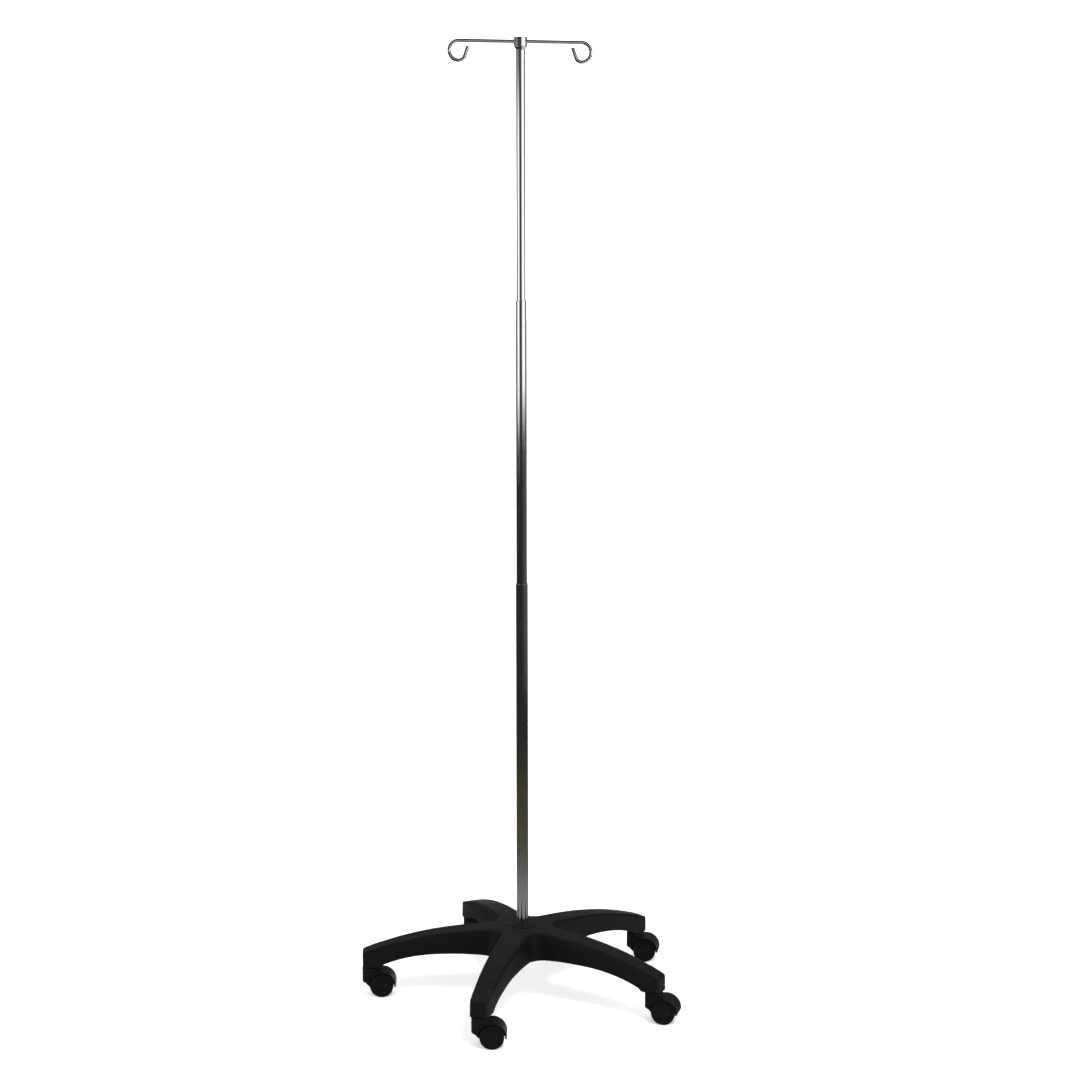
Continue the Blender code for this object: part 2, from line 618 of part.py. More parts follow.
def boss_solid():
    """The round boss on the swivel axis, with a well on each side that the wheel turns in."""
    profile = (
        (0, BOSS_TOP), (BOSS_RADIUS - BOSS_TOP_EDGE, BOSS_TOP), (BOSS_RADIUS, BOSS_TOP - BOSS_TOP_EDGE),
        (BOSS_RADIUS, BOSS_UNDERSIDE + BOSS_LOWER_EDGE), (BOSS_RADIUS - BOSS_LOWER_EDGE, BOSS_UNDERSIDE),
        (0, BOSS_UNDERSIDE),
    )
    boss = spun("boss", profile, 24, closed=False)
    well_radius = HOOD_RADIUS - HOOD_THICKNESS - CLEARANCE
    for side in (-1, 1):
        well = rod("well", well_radius, 0, 0.03, 32)
        start = Matrix.Translation((CASTER_TRAIL, side * WEB_HALF_WIDTH, WHEEL_RADIUS))
        well.matrix_basis = start @ Matrix.Rotation(-side * pi / 2, 4, "X")
        combine(boss, well, "DIFFERENCE")
    return boss


def hood_solid():
    inside = HOOD_RADIUS - HOOD_THICKNESS
    outline = axle_outline(HOOD_RADIUS, HOOD_TAIL_ANGLE, HOOD_FRONT_ANGLE, 9)
    outline += axle_outline(inside, HOOD_FRONT_ANGLE, HOOD_TAIL_ANGLE, 9)
    return extruded("hood", outline, -HOOD_HALF_WIDTH, HOOD_HALF_WIDTH)


def web_solid():
    """The plate between the wheels, from the hood's tail round to the nose and down past the axle."""
    outline = axle_outline(HOOD_RADIUS - WEB_SET_IN, HOOD_TAIL_ANGLE, HOOD_FRONT_ANGLE, 9)
    outline += [NOSE_BACK, NOSE_CORNER, NOSE_FOOT]
    outline += axle_outline(WEB_FOOT_RADIUS, radians(225), radians(330), 4)
    return extruded("web", outline, -WEB_HALF_WIDTH, WEB_HALF_WIDTH)


def housing_mesh():
    """Hood, web and boss in one moulding, bored for the stem and the axle. X is the way it trails."""
    housing = combine(hood_solid(), web_solid(), "UNION")
    combine(housing, boss_solid(), "UNION")
    pivot = STEM_PIVOT_RADIUS + CLEARANCE
    pocket = STEM_HEAD_RADIUS + CLEARANCE
    ledge = STEM_HEAD_HEIGHTS[1] + STEM_EDGE + 2 * CLEARANCE
    profile = ((0, 0.08), (pivot, 0.08), (pivot, ledge), (pocket, ledge), (pocket, 0), (0, 0))
    combine(housing, spun("stem_bore", profile, 16, closed=False), "DIFFERENCE")
    axle_hole = rod("axle_hole", AXLE_RADIUS + CLEARANCE, -0.03, 0.03, 12)
    at_axle = Matrix.Translation((CASTER_TRAIL, 0, WHEEL_RADIUS))
    axle_hole.matrix_basis = at_axle @ Matrix.Rotation(pi / 2, 4, "X")
    combine(housing, axle_hole, "DIFFERENCE")
    return baked(housing)


def wheel_mesh():
    """One wheel about Z, its plain outer face up and its blind axle bore open below.

    Its sides are flat at the rolling radius, so that it stands still on a flat.
    """
    tread = WHEEL_RADIUS / cos(pi / WHEEL_SIDES)
    bore = AXLE_RADIUS + CLEARANCE
    bore_end = WHEEL_WIDTH - WHEEL_END_WALL
    dish_floor = WHEEL_WIDTH - WHEEL_DISH_DEPTH
    half_slope = WHEEL_DISH_DEPTH / 2
    dish_inner, dish_outer = WHEEL_DISH
    profile = (
        (0, WHEEL_WIDTH), (dish_inner - half_slope, WHEEL_WIDTH), (dish_inner + half_slope, dish_floor),
        (dish_outer - half_slope, dish_floor), (dish_outer + half_slope, WHEEL_WIDTH),
        (tread - WHEEL_OUTER_EDGE, WHEEL_WIDTH), (tread, WHEEL_WIDTH - WHEEL_OUTER_EDGE),
        (tread, WHEEL_INNER_EDGE), (tread - WHEEL_INNER_EDGE, 0), (bore, 0), (bore, bore_end),
        (0, bore_end),
    )
    return baked(spun("wheel", profile, WHEEL_SIDES, closed=False, phase=pi / WHEEL_SIDES))


def make_casters(paint, root):
    socket, stem, housing, wheel = socket_mesh(), stem_mesh(), housing_mesh(), wheel_mesh()
    half_axle = WHEEL_INNER_FACE + WHEEL_WIDTH - WHEEL_END_WALL - 0.0005
    axle = baked(rod("axle", AXLE_RADIUS, -half_axle, half_axle, 12))
    for index in range(LEG_COUNT):
        number = index + 1
        at_leg = empty(f"leg_socket_{number}_axis", socket_place(index), parent=root)
        place(f"leg_socket_{number}", socket, paint["steel"], at_leg)
        place(f"caster_stem_{number}", stem, paint["steel"], at_leg)
        swivel = empty(f"caster_{number}_swivel", socket_place(index), CASTER_ANGLES[index], root)
        place(f"caster_housing_{number}", housing, paint["nylon"], swivel)
        pin = place(f"caster_axle_{number}", axle, paint["steel"], swivel)
        pin.location = (CASTER_TRAIL, 0, WHEEL_RADIUS)
        pin.rotation_euler.x = pi / 2
        for side, word in ((1, "left"), (-1, "right")):
            rolling = place(f"caster_wheel_{number}_{word}", wheel, paint["wheel"], swivel)
            rolling.location = (CASTER_TRAIL, side * WHEEL_INNER_FACE, WHEEL_RADIUS)
            rolling.rotation_euler.x = -side * pi / 2


def main():
    for old in list(bpy.data.objects):
        bpy.data.objects.remove(old)
    paint = make_materials()
    root = empty("iv_pole", (0, 0, 0))
    make_base(paint, root)
    make_pole_fixing(paint, root)
    hook_mount = make_pole(paint, root)
    make_cap(paint, hook_mount)
    make_hook_bar(paint, hook_mount)
    make_casters(paint, root)


main()
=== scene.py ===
"""Looks for the mobile infusion pole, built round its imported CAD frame.

Fine meshes stand for every CAD piece that shows. The pieces hidden in the tubes, the hub and the
leg ends stay as CAD nodes with finished materials. Metres, +Z up, the pole on the Z axis.
"""

import json
from math import atan2, cos, hypot, pi, radians, sin

import bmesh
import bpy
from mathutils import Matrix, Vector


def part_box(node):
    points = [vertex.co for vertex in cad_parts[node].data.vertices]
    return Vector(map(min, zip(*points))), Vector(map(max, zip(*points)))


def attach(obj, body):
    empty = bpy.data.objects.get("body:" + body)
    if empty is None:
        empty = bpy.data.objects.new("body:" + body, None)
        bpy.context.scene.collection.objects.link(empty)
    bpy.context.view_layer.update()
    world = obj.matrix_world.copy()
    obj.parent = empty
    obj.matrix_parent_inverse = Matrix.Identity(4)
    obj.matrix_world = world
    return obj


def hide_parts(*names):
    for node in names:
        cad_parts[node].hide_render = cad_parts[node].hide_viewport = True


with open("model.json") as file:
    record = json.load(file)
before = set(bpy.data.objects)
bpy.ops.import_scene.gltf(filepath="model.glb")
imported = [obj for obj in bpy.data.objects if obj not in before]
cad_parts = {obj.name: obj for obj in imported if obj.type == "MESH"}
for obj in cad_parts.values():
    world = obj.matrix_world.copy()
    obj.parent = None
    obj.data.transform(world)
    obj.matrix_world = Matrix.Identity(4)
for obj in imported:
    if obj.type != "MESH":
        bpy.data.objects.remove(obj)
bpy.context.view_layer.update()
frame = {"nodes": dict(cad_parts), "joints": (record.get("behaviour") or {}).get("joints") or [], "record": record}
nodes = frame["nodes"]
joints = {joint["name"]: joint for joint in frame["joints"]}


def low(node):
    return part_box(node)[0]


def high(node):
    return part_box(node)[1]


# ---------------------------------------------------------------- sizes
CLEARANCE = 0.0003                   # between pieces that touch
CUT_MARGIN = 0.01                    # how far a cutter runs past what it cuts

# base
LEG_COUNT = 5
FIRST_SWIVEL = Vector(joints["caster_1_swivel"]["pos_m"])
FIRST_LEG_ANGLE = atan2(FIRST_SWIVEL.y, FIRST_SWIVEL.x)
CASTER_RADIUS = hypot(FIRST_SWIVEL.x, FIRST_SWIVEL.y)
BASE_RADIUS = 0.340                  # pole axis to the end face of a leg
HUB_TOP = high("base_star").z
HUB_UNDERSIDE = high("clamp_washer").z + CLEARANCE
LEG_DROP = 0.0505                    # how far a leg's top falls from the hub to its end
LEG_DROP_POWER = 2.6
ARCH_HEIGHT = 0.0957                 # highest point under a leg
ARCH_RADIUS = 0.145
ARCH_DROP = 0.0245
ARCH_POWER = 2.6
HUB_ARCH_DROP = 0.0080
HUB_ARCH_START = 0.048
END_BLOCK_START = 0.297
END_BLOCK_STEP = 0.007               # length of the slope from the arch down to the end block
END_BLOCK_UNDERSIDE = low("base_star").z
LOW_PLAN_HEIGHT = 0.085
LOW_HALF_WIDTHS = (0.0465, 0.0182)   # at the pole axis, if the side ran on to it, and at the end
HIGH_PLAN_HEIGHT = 0.140
HIGH_HALF_WIDTHS = (0.0315, 0.0175)
CROTCH_RADIUS = 0.026
LEG_CORNER_RADIUS = 0.007
SIDE_EDGE_RADIUS = 0.0055            # rounding along a leg's top edges
END_EDGE_RADIUS = 0.0022             # and across its end
RIM_RADIUS = 0.0010                  # rounding of the lower edge
TOP_INSETS = (0.0150, 0.0115, 0.0092)
UNDERSIDE_INSETS = (0.0060, 0.0150)
SHELL_WALL = 0.0045
RIB_THICKNESS = 0.003
CROSS_RIB_RADII = (0.100, 0.165, 0.232)
HUB_WALL_RADIUS = 0.034
HUB_HOLE_RADIUS = 0.024
HUB_RECESS_RADIUS = 0.0262
HUB_RECESS_FLOOR = 0.1448
HUB_RECESS_EDGE = 0.0006
SOCKET_HOLE_RADIUS = 0.0071
SOCKET_TOP = high("leg_socket_1").z + CLEARANCE

# points round the base's plan: along a leg's side, round its corner, across its end, round a crotch
SIDE_STEPS = 24
CORNER_STEPS = 6
END_STEPS = 4
CROTCH_STEPS = 18
STEP_LEAD = 0.004                    # the last point before the slope to the end block
STEP_SHARES = (0, 0.25, 0.5, 0.75, 1, 1.25, 2.4)
HALF_SECTOR = pi / LEG_COUNT

# pole
TUBE_WALL = 0.0012
TUBE_NODES = {"lower": "base", "mid": "mid_section", "upper": "upper_section"}
TUBE_SEGMENTS = 96
LIP_RADIUS = 0.00055                 # rolled upper lip
FOOT_EDGE = 0.0002

# hook
POLE_HEIGHT = high("hook_cap").z
CAP_RADIUS = high("hook_cap").x
CAP_LENGTH = 0.0195
CAP_NECK_LENGTH = 0.0055
HOOK_ROD_RADIUS = 0.0040
HOOK_HEIGHT = high("hook_bar").z - HOOK_ROD_RADIUS
HOOK_HALF_SPAN = 0.1500
HOOK_LOOP_RADIUS = 0.0193            # half turn from the arm to the bottom, at the rod's middle
HOOK_CURL_RADIUS = 0.0131            # tighter bend from the bottom towards the tip
HOOK_CURL_SWEEP = radians(71)
HOOK_TIP_LENGTH = 0.0206             # straight end after the tighter bend
HOOK_TIP_EDGE = 0.0006               # rounding round the cut end
HOOK_ANGLE = radians(13.0)
ARM_STEPS = 9
LOOP_STEPS = 44
CURL_STEPS = 20
TIP_STEPS = 6
WELD_RADIUS = 0.0011

# casters
FIRST_AXLE = Vector(joints["wheel_1_left_spin"]["pos_m"])
WHEEL_RADIUS = FIRST_AXLE.z
CASTER_TRAIL = (FIRST_AXLE - FIRST_SWIVEL).xy.length
WHEEL_WIDTH = 0.0165
WHEEL_INNER_FACE = 0.0062
WHEEL_CAP_RADIUS = 0.0070
WHEEL_RING_RADII = (0.0082, 0.0180)  # sunk ring between the hub cap and the rim
WHEEL_RIM_RADIUS = 0.0196
WHEEL_BACK_RADII = (0.0070, 0.0190)  # sunk back
WHEEL_BACK_DEPTH = 0.0030
WHEEL_BORE_RADIUS = 0.0033
WHEEL_CROWN = 0.0003                 # the tread's middle stands this far proud of its edges
BOSS_RADIUS = 0.0190
BOSS_TOP = high("caster_housing_1").z
BOSS_UNDERSIDE = 0.0280
WEB_HALF_WIDTH = 0.0056
WEB_NOSE = [(-0.0160, 0.0500), (-0.0160, 0.0315), (-0.0150, 0.0290), (-0.0050, 0.0180)]
WEB_TOP_MARGIN = 0.0004              # web below the hood's outside
WEB_TOE_RADIUS = 0.0085              # round the axle's underside
HOOD_RADIUS = 0.0300
HOOD_THICKNESS = 0.0024
HOOD_HALF_WIDTH = 0.0232
HOOD_LIP_RADIUS = 0.0264             # inside of the lip along the hood's open edges
HOOD_LIP_WIDTH = 0.0014
HOOD_LIP_OVERLAP = 0.0005            # how far the lip runs into the hood
HOOD_ANGLES = (radians(-4), radians(140))
PIVOT_HOLE_RADIUS = 0.0044
PIVOT_HOLE_ENDS = (0.034, 0.08)
STEM_GRIP_RADIUS = 0.0055
STEM_FLANGE_RADIUS = 0.0085
STEM_PIVOT_RADIUS = 0.0040
STEM_HEAD_RADIUS = 0.0048

# ---------------------------------------------------------------- view and light
CAMERA_PLACE = (0.0, -4.4235, 1.6350)
CAMERA_LENS = 72.90                  # on a 36 mm sensor
CAMERA_PITCH = 0.14519               # down
CAMERA_YAW = 0.00530                 # towards +X
CAMERA_ROLL = -0.00158
KEY_PLACE = (1.2, -2.5, 4.0)
KEY_TARGET = (0, 0, 0.1)
KEY_SIZE = 1.0
KEY_POWER = 100

# Soft boxes that the chrome reflects: azimuths from the camera's side, towards +X, then slopes.
LEFT_BOX = (radians(-88), radians(-40)), (-0.101, 0.056)
RIGHT_BOX = (radians(20), radians(90)), (-0.090, 0.130)
BOX_BRIGHTNESS = 1.30
REAR_BOX_SLOPES = (-0.40, 0.04)
REAR_BOX_BRIGHTNESS = 0.75


# ================================================================ mesh helpers
def finished(name, bm, sharp_angle=40, merge=1e-6):
    """An object from a bmesh, with its doubled points merged and its faces pointing out."""
    if merge:
        bmesh.ops.remove_doubles(bm, verts=bm.verts, dist=merge)
    bmesh.ops.recalc_face_normals(bm, faces=bm.faces)
    if bm.calc_volume(signed=True) < 0:
        bmesh.ops.reverse_faces(bm, faces=bm.faces)
    mesh = bpy.data.meshes.new(name)
    bm.to_mesh(mesh)
    bm.free()
    return shown(name, mesh, sharp_angle)


def shown(name, mesh, sharp_angle=40):
    """An object that shows the mesh, shaded smooth except at edges sharper than the angle."""
    mesh.shade_smooth()
    mesh.set_sharp_from_angle(angle=radians(sharp_angle))
    piece = bpy.data.objects.new(name, mesh)
    bpy.context.scene.collection.objects.link(piece)
    return piece


def arc(centre, radius, start, end, steps):
    """Points along an arc, both ends included."""
    turn = (end - start) / steps
    return [
        (centre[0] + radius * cos(start + turn * i), centre[1] + radius * sin(start + turn * i))
        for i in range(steps + 1)
    ]


SHADING_MARGIN = 0.00015             # a point this far beyond each arc keeps the flats shading flat


def rounded(profile, steps=5):
    """A profile of points (x, y) or (x, y, radius), each one with a radius turned into an arc."""
    points = []
    count = len(profile)
    for i, (x, y, *radius) in enumerate(profile):
        corner = Vector((x, y))
        if not radius:
            points.append(corner)
            continue
        back = Vector(profile[i - 1][:2]) - corner
        ahead = Vector(profile[(i + 1) % count][:2]) - corner
        half = back.angle(ahead) / 2
        reach = radius[0] / abs(sin(half)) * cos(half)
        start = corner + back.normalized() * reach
        finish = corner + ahead.normalized() * reach
        if back.length > reach + 2 * SHADING_MARGIN:
            points.append(start + back.normalized() * SHADING_MARGIN)
        for step in range(steps + 1):
            share = step / steps
            bend = start.lerp(corner, share).lerp(corner.lerp(finish, share), share)
            points.append(bend)
        if ahead.length > reach + 2 * SHADING_MARGIN:
            points.append(finish + ahead.normalized() * SHADING_MARGIN)
    return points


def turned(name, profile, segments=TUBE_SEGMENTS, closed=True, sharp_angle=40):
    """A profile of (radius, height) points turned about Z. An open one starts and ends on it."""
    bm = bmesh.new()
    on_axis = {height: bm.verts.new((0, 0, height)) for radius, height in profile if not radius}
    sections = []
    for i in range(segments):
        across = Vector((cos(2 * pi * i / segments), sin(2 * pi * i / segments), 0))
        sections.append([
            bm.verts.new(radius * across + Vector((0, 0, height))) if radius else on_axis[height]
            for radius, height in profile
        ])
    for first, second in zip(sections, sections[1:] + sections[:1]):
        for j in range(len(profile) if closed else len(profile) - 1):
            after = (j + 1) % len(profile)
            corners = (first[j], first[after], second[after], second[j])
            bm.faces.new(list(dict.fromkeys(corners)))
    return finished(name, bm, sharp_angle)


def rod_profile(radius, bottom, top):
    """A plain solid rod, for turned with closed=False."""
    return ((0, top), (radius, top), (radius, bottom), (0, bottom))


def extruded(name, outline, near, far):
    """An outline of (x, z) points extruded along Y."""
    bm = bmesh.new()
    face = bm.faces.new([bm.verts.new((x, near, z)) for x, z in outline])
    grown = bmesh.ops.extrude_face_region(bm, geom=[face])["geom"]
    moved = [item for item in grown if isinstance(item, bmesh.types.BMVert)]
    bmesh.ops.translate(bm, verts=moved, vec=(0, far - near, 0))
    return finished(name, bm)


def apply_modifiers(piece):
    bpy.context.view_layer.update()
    graph = bpy.context.evaluated_depsgraph_get()
    mesh = bpy.data.meshes.new_from_object(piece.evaluated_get(graph))
    piece.modifiers.clear()
    piece.data = mesh


def combine(target, tool, operation, solver="EXACT"):
    """Join, cut or intersect the target with the tool, which is used up."""
    modifier = target.modifiers.new(operation.title(), "BOOLEAN")
    modifier.operation = operation
    modifier.solver = solver
    modifier.object = tool
    apply_modifiers(target)
    bpy.data.objects.remove(tool)
    return target


def baked(piece):
    """The piece's mesh in its parent's frame. The piece is used up."""
    mesh = piece.data
    mesh.transform(piece.matrix_basis)
    bpy.data.objects.remove(piece)
    return mesh


# ================================================================ materials
class Nodes:
    """A shader's node tree, with short calls for what materials and the world share."""

    def __init__(self, tree):
        self.tree = tree

    def new(self, kind):
        return self.tree.nodes.new(f"ShaderNode{kind}")

    def link(self, source, target):
        self.tree.links.new(source, target)

    def math(self, operation, first, second=None):
        """A sum of numbers or other nodes' outputs."""
        node = self.new("Math")
        node.operation = operation
        for socket, value in zip(node.inputs, (first, second)):
            if isinstance(value, (int, float)):
                socket.default_value = value
            elif value is not None:
                self.link(value, socket)
        return node.outputs["Value"]

    def remap(self, value, source, target):
        """The value eased from one range to another."""
        node = self.new("MapRange")
        node.interpolation_type = "SMOOTHSTEP"
        ends = ("From Min", "From Max", "To Min", "To Max")
        for end, number in zip(ends, (*source, *target)):
            node.inputs[end].default_value = number
        self.link(value, node.inputs["Value"])
        return node.outputs["Result"]


class Shade(Nodes):
    """A material of one Principled shader and the textures that drive it."""

    def __init__(self, name, colour, roughness, metallic=0.0):
        self.material = bpy.data.materials.new(name)
        self.material.use_nodes = True
        super().__init__(self.material.node_tree)
        self.shader = self.tree.nodes["Principled BSDF"]
        self.shader.inputs["Base Color"].default_value = (*colour, 1)
        self.shader.inputs["Roughness"].default_value = roughness
        self.shader.inputs["Metallic"].default_value = metallic
        self.place = self.new("TexCoord").outputs["Object"]

    def stretched(self, scale):
        node = self.new("Mapping")
        node.inputs["Scale"].default_value = scale
        self.link(self.place, node.inputs["Vector"])
        return node.outputs["Vector"]

    def noise(self, scale, detail=3.0, stretch=None, roughness=0.55, distortion=0.0):
        node = self.new("TexNoise")
        node.inputs["Scale"].default_value = scale
        node.inputs["Detail"].default_value = detail
        node.inputs["Roughness"].default_value = roughness
        node.inputs["Distortion"].default_value = distortion
        self.link(self.stretched(stretch) if stretch else self.place, node.inputs["Vector"])
        return node.outputs["Fac"]

    def voronoi(self, scale, feature="F1"):
        node = self.new("TexVoronoi")
        node.feature = feature
        node.inputs["Scale"].default_value = scale
        self.link(self.place, node.inputs["Vector"])
        return node.outputs["Distance"]

    def mix(self, share, first, second):
        """A colour between two, each given as numbers or as another node's output."""
        node = self.new("Mix")
        node.data_type = "RGBA"
        self.link(share, node.inputs["Factor"])
        for socket, value in zip(node.inputs[6:8], (first, second)):
            if isinstance(value, tuple):
                socket.default_value = (*value, 1)
            else:
                self.link(value, socket)
        return node.outputs[2]

    def facing_up(self):
        geometry = self.new("NewGeometry")
        split = self.new("SeparateXYZ")
        self.link(geometry.outputs["Normal"], split.inputs["Vector"])
        return split.outputs["Z"]

    def bump(self, height, depth, strength=1.0, under=None):
        node = self.new("Bump")
        node.inputs["Distance"].default_value = depth
        node.inputs["Strength"].default_value = strength
        self.link(height, node.inputs["Height"])
        if under:
            self.link(under, node.inputs["Normal"])
        return node.outputs["Normal"]

    def set(self, name, value):
        self.link(value, self.shader.inputs[name])


def moulded_nylon(name, colour, worn, roughness, grain):
    """Black glass-filled nylon: spark-eroded grain, flow marks, pale scuffs, and dust that also paints light on
    the up-facing tops.
    """
    shade = Shade(name, colour, roughness)
    flow = shade.noise(14, 4, distortion=0.6)
    cloud = shade.noise(55, 3)
    scuff = shade.noise(120, 5, stretch=(1, 1, 0.35), roughness=0.7)
    scuff = shade.remap(scuff, (0.60, 0.74), (0, 1))
    patch = shade.remap(shade.noise(22, 2), (0.50, 0.66), (0, 1))
    scuffed = shade.math("MULTIPLY", scuff, patch)
    lighter = tuple(channel * 1.35 for channel in colour)
    tone = shade.mix(flow, colour, lighter)
    tone = shade.mix(shade.math("MULTIPLY", scuffed, 0.55), tone, worn)
    # Up-facing faces turn paler: partly dust, partly painted light that keeps the tops lighter than the sides.
    dust_and_top_light = shade.remap(shade.facing_up(), (0.55, 1.0), (0, 1))
    dust_and_top_light = shade.math("MULTIPLY", dust_and_top_light, shade.remap(cloud, (0.42, 0.70), (0.02, 0.11)))
    tone = shade.mix(dust_and_top_light, tone, (0.045, 0.043, 0.037))
    shade.set("Base Color", tone)
    rough = shade.remap(cloud, (0.30, 0.70), (roughness - 0.05, roughness + 0.07))
    rough = shade.math("ADD", rough, shade.math("MULTIPLY", scuffed, 0.10))
    shade.set("Roughness", rough)
    fine = shade.bump(shade.noise(1500, 2), grain, 0.55)
    shade.set("Normal", shade.bump(shade.noise(38, 2), 0.00035, 0.35, fine))
    shade.shader.inputs["Specular IOR Level"].default_value = 0.24
    return shade.material


def wheel_nylon():
    """Hard black nylon: turning marks round the face, and a rolled, dusty tread."""
    shade = Shade("wheel_nylon", (0.012, 0.013, 0.012), 0.36)
    cloud = shade.noise(90, 4)
    scratch = shade.noise(160, 5, stretch=(1, 1, 0.12), roughness=0.75)
    scratch = shade.remap(scratch, (0.58, 0.72), (0, 1))
    tone = shade.mix(cloud, (0.0018, 0.0022, 0.0018), (0.0030, 0.0034, 0.0030))
    tone = shade.mix(shade.math("MULTIPLY", scratch, 0.30), tone, (0.016, 0.016, 0.015))
    shade.set("Base Color", tone)
    rough = shade.remap(cloud, (0.3, 0.7), (0.30, 0.42))
    shade.set("Roughness", shade.math("ADD", rough, shade.math("MULTIPLY", scratch, 0.12)))
    fine = shade.bump(shade.noise(1300, 2), 0.00005, 0.5)
    shade.set("Normal", shade.bump(scratch, 0.00006, 0.4, fine))
    shade.shader.inputs["Specular IOR Level"].default_value = 0.30
    return shade.material


def chrome(name, along=(1, 1, 0.02), haze=0.0, relief=1.0):
    """Chrome plate over drawn steel: hairline draw marks along the piece, and a faint wiping haze.

    relief is the depth of the marks, as a share of the tubes'.
    """
    shade = Shade(name, (0.80, 0.80, 0.79), 0.06, 1.0)
    smear = shade.noise(24, 4, stretch=tuple(0.3 + 0.7 * share for share in along), distortion=0.8)
    draw = shade.noise(1400, 3, stretch=along, roughness=0.7)
    tone = shade.mix(smear, (0.82, 0.82, 0.815), (0.74, 0.74, 0.73))
    shade.set("Base Color", tone)
    rough = shade.remap(smear, (0.35, 0.75), (0.045 + haze, 0.095 + haze))
    rough = shade.math("ADD", rough, shade.remap(draw, (0.62, 0.80), (0, 0.05)))
    shade.set("Roughness", rough)
    hair = shade.bump(draw, 0.000012, 0.35 * relief)
    shade.set("Normal", shade.bump(shade.noise(60, 2), 0.00008, 0.12 * relief, hair))
    return shade.material


def weld_chrome():
    """Chrome over a weld bead: rippled and a little dull."""
    shade = Shade("weld_chrome", (0.72, 0.72, 0.70), 0.20, 1.0)
    ripple = shade.noise(700, 3, distortion=1.2)
    shade.set("Roughness", shade.remap(ripple, (0.3, 0.7), (0.14, 0.30)))
    shade.set("Base Color", shade.mix(ripple, (0.62, 0.62, 0.60), (0.78, 0.78, 0.76)))
    shade.set("Normal", shade.bump(ripple, 0.0003, 0.6))
    return shade.material


def zinc_steel():
    """Bright zinc plate: pale blue-grey crystals and fine tool marks."""
    shade = Shade("zinc_steel", (0.62, 0.63, 0.62), 0.30, 1.0)
    crystal = shade.voronoi(420)
    cloud = shade.noise(160, 3)
    tone = shade.mix(crystal, (0.56, 0.58, 0.60), (0.70, 0.70, 0.67))
    dulled = shade.remap(cloud, (0.55, 0.75), (0, 0.5))
    shade.set("Base Color", shade.mix(dulled, tone, (0.46, 0.45, 0.42)))
    shade.set("Roughness", shade.remap(cloud, (0.3, 0.7), (0.24, 0.40)))
    shade.set("Normal", shade.bump(shade.noise(1800, 2, stretch=(1, 1, 0.2)), 0.00002, 0.5))
    return shade.material


def natural_acetal():
    """Unpainted acetal: warm white, slightly cloudy, satin."""
    shade = Shade("natural_acetal", (0.80, 0.79, 0.74), 0.40)
    cloud = shade.noise(200, 3)
    shade.set("Base Color", shade.mix(cloud, (0.74, 0.73, 0.68), (0.84, 0.83, 0.79)))
    shade.set("Roughness", shade.remap(cloud, (0.3, 0.7), (0.34, 0.48)))
    shade.set("Normal", shade.bump(shade.noise(1500, 2), 0.00003, 0.5))
    shade.shader.inputs["Subsurface Weight"].default_value = 0.08
    shade.shader.inputs["Subsurface Radius"].default_value = (0.002, 0.0018, 0.0014)
    return shade.material


finishes = {
    "base": moulded_nylon(
        "black_nylon", (0.0021, 0.0027, 0.0020), worn=(0.016, 0.016, 0.015), roughness=0.50,
        grain=0.00010,
    ),
    "cover": moulded_nylon(
        "cover_nylon", (0.0022, 0.0026, 0.0021), worn=(0.015, 0.015, 0.014), roughness=0.44,
        grain=0.00006,
    ),
    "wheel": wheel_nylon(),
    "tube": chrome("chrome_tube"),
    "hook": chrome("chrome_rod", along=(0.4, 0.4, 0.4), haze=-0.01, relief=0.25),
    "weld": weld_chrome(),
    "steel": zinc_steel(),
    "acetal": natural_acetal(),
}


def dress(piece, finish, body=None, replaces=()):
    """Give a piece its material and slot, and set what it rides on and stands for."""
    piece.data.materials.clear()
    piece.data.materials.append(finishes[finish])
    if body:
        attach(piece, body)
    if replaces:
        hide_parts(*replaces)
    return piece


# ================================================================ base
def leg_angle(index):
    return FIRST_LEG_ANGLE + 2 * pi * index / LEG_COUNT


def leg_top(radius):
    """Height of a leg's top surface."""
    return HUB_TOP - LEG_DROP * (radius / BASE_RADIUS) ** LEG_DROP_POWER


def leg_underside(radius):
    """Height of a leg's lower edge: hub, arch, then the step down to the end block."""
    if radius < HUB_ARCH_START:
        share = radius / HUB_ARCH_START
        return HUB_UNDERSIDE + share * (ARCH_HEIGHT - HUB_ARCH_DROP - HUB_UNDERSIDE)
    if radius < ARCH_RADIUS:
        share = (ARCH_RADIUS - radius) / (ARCH_RADIUS - HUB_ARCH_START)
        return ARCH_HEIGHT - HUB_ARCH_DROP * share**2
    share = min(1, (radius - ARCH_RADIUS) / (END_BLOCK_START - ARCH_RADIUS))
    arch = ARCH_HEIGHT - ARCH_DROP * share**ARCH_POWER
    step = min(1, max(0, (radius - END_BLOCK_START) / END_BLOCK_STEP))
    return arch + step * (END_BLOCK_UNDERSIDE - arch)


def spread(first, last, count):
    """Evenly spaced numbers after the first and before the last."""
    return [first + (last - first) * (i + 1) / (count + 1) for i in range(count)]


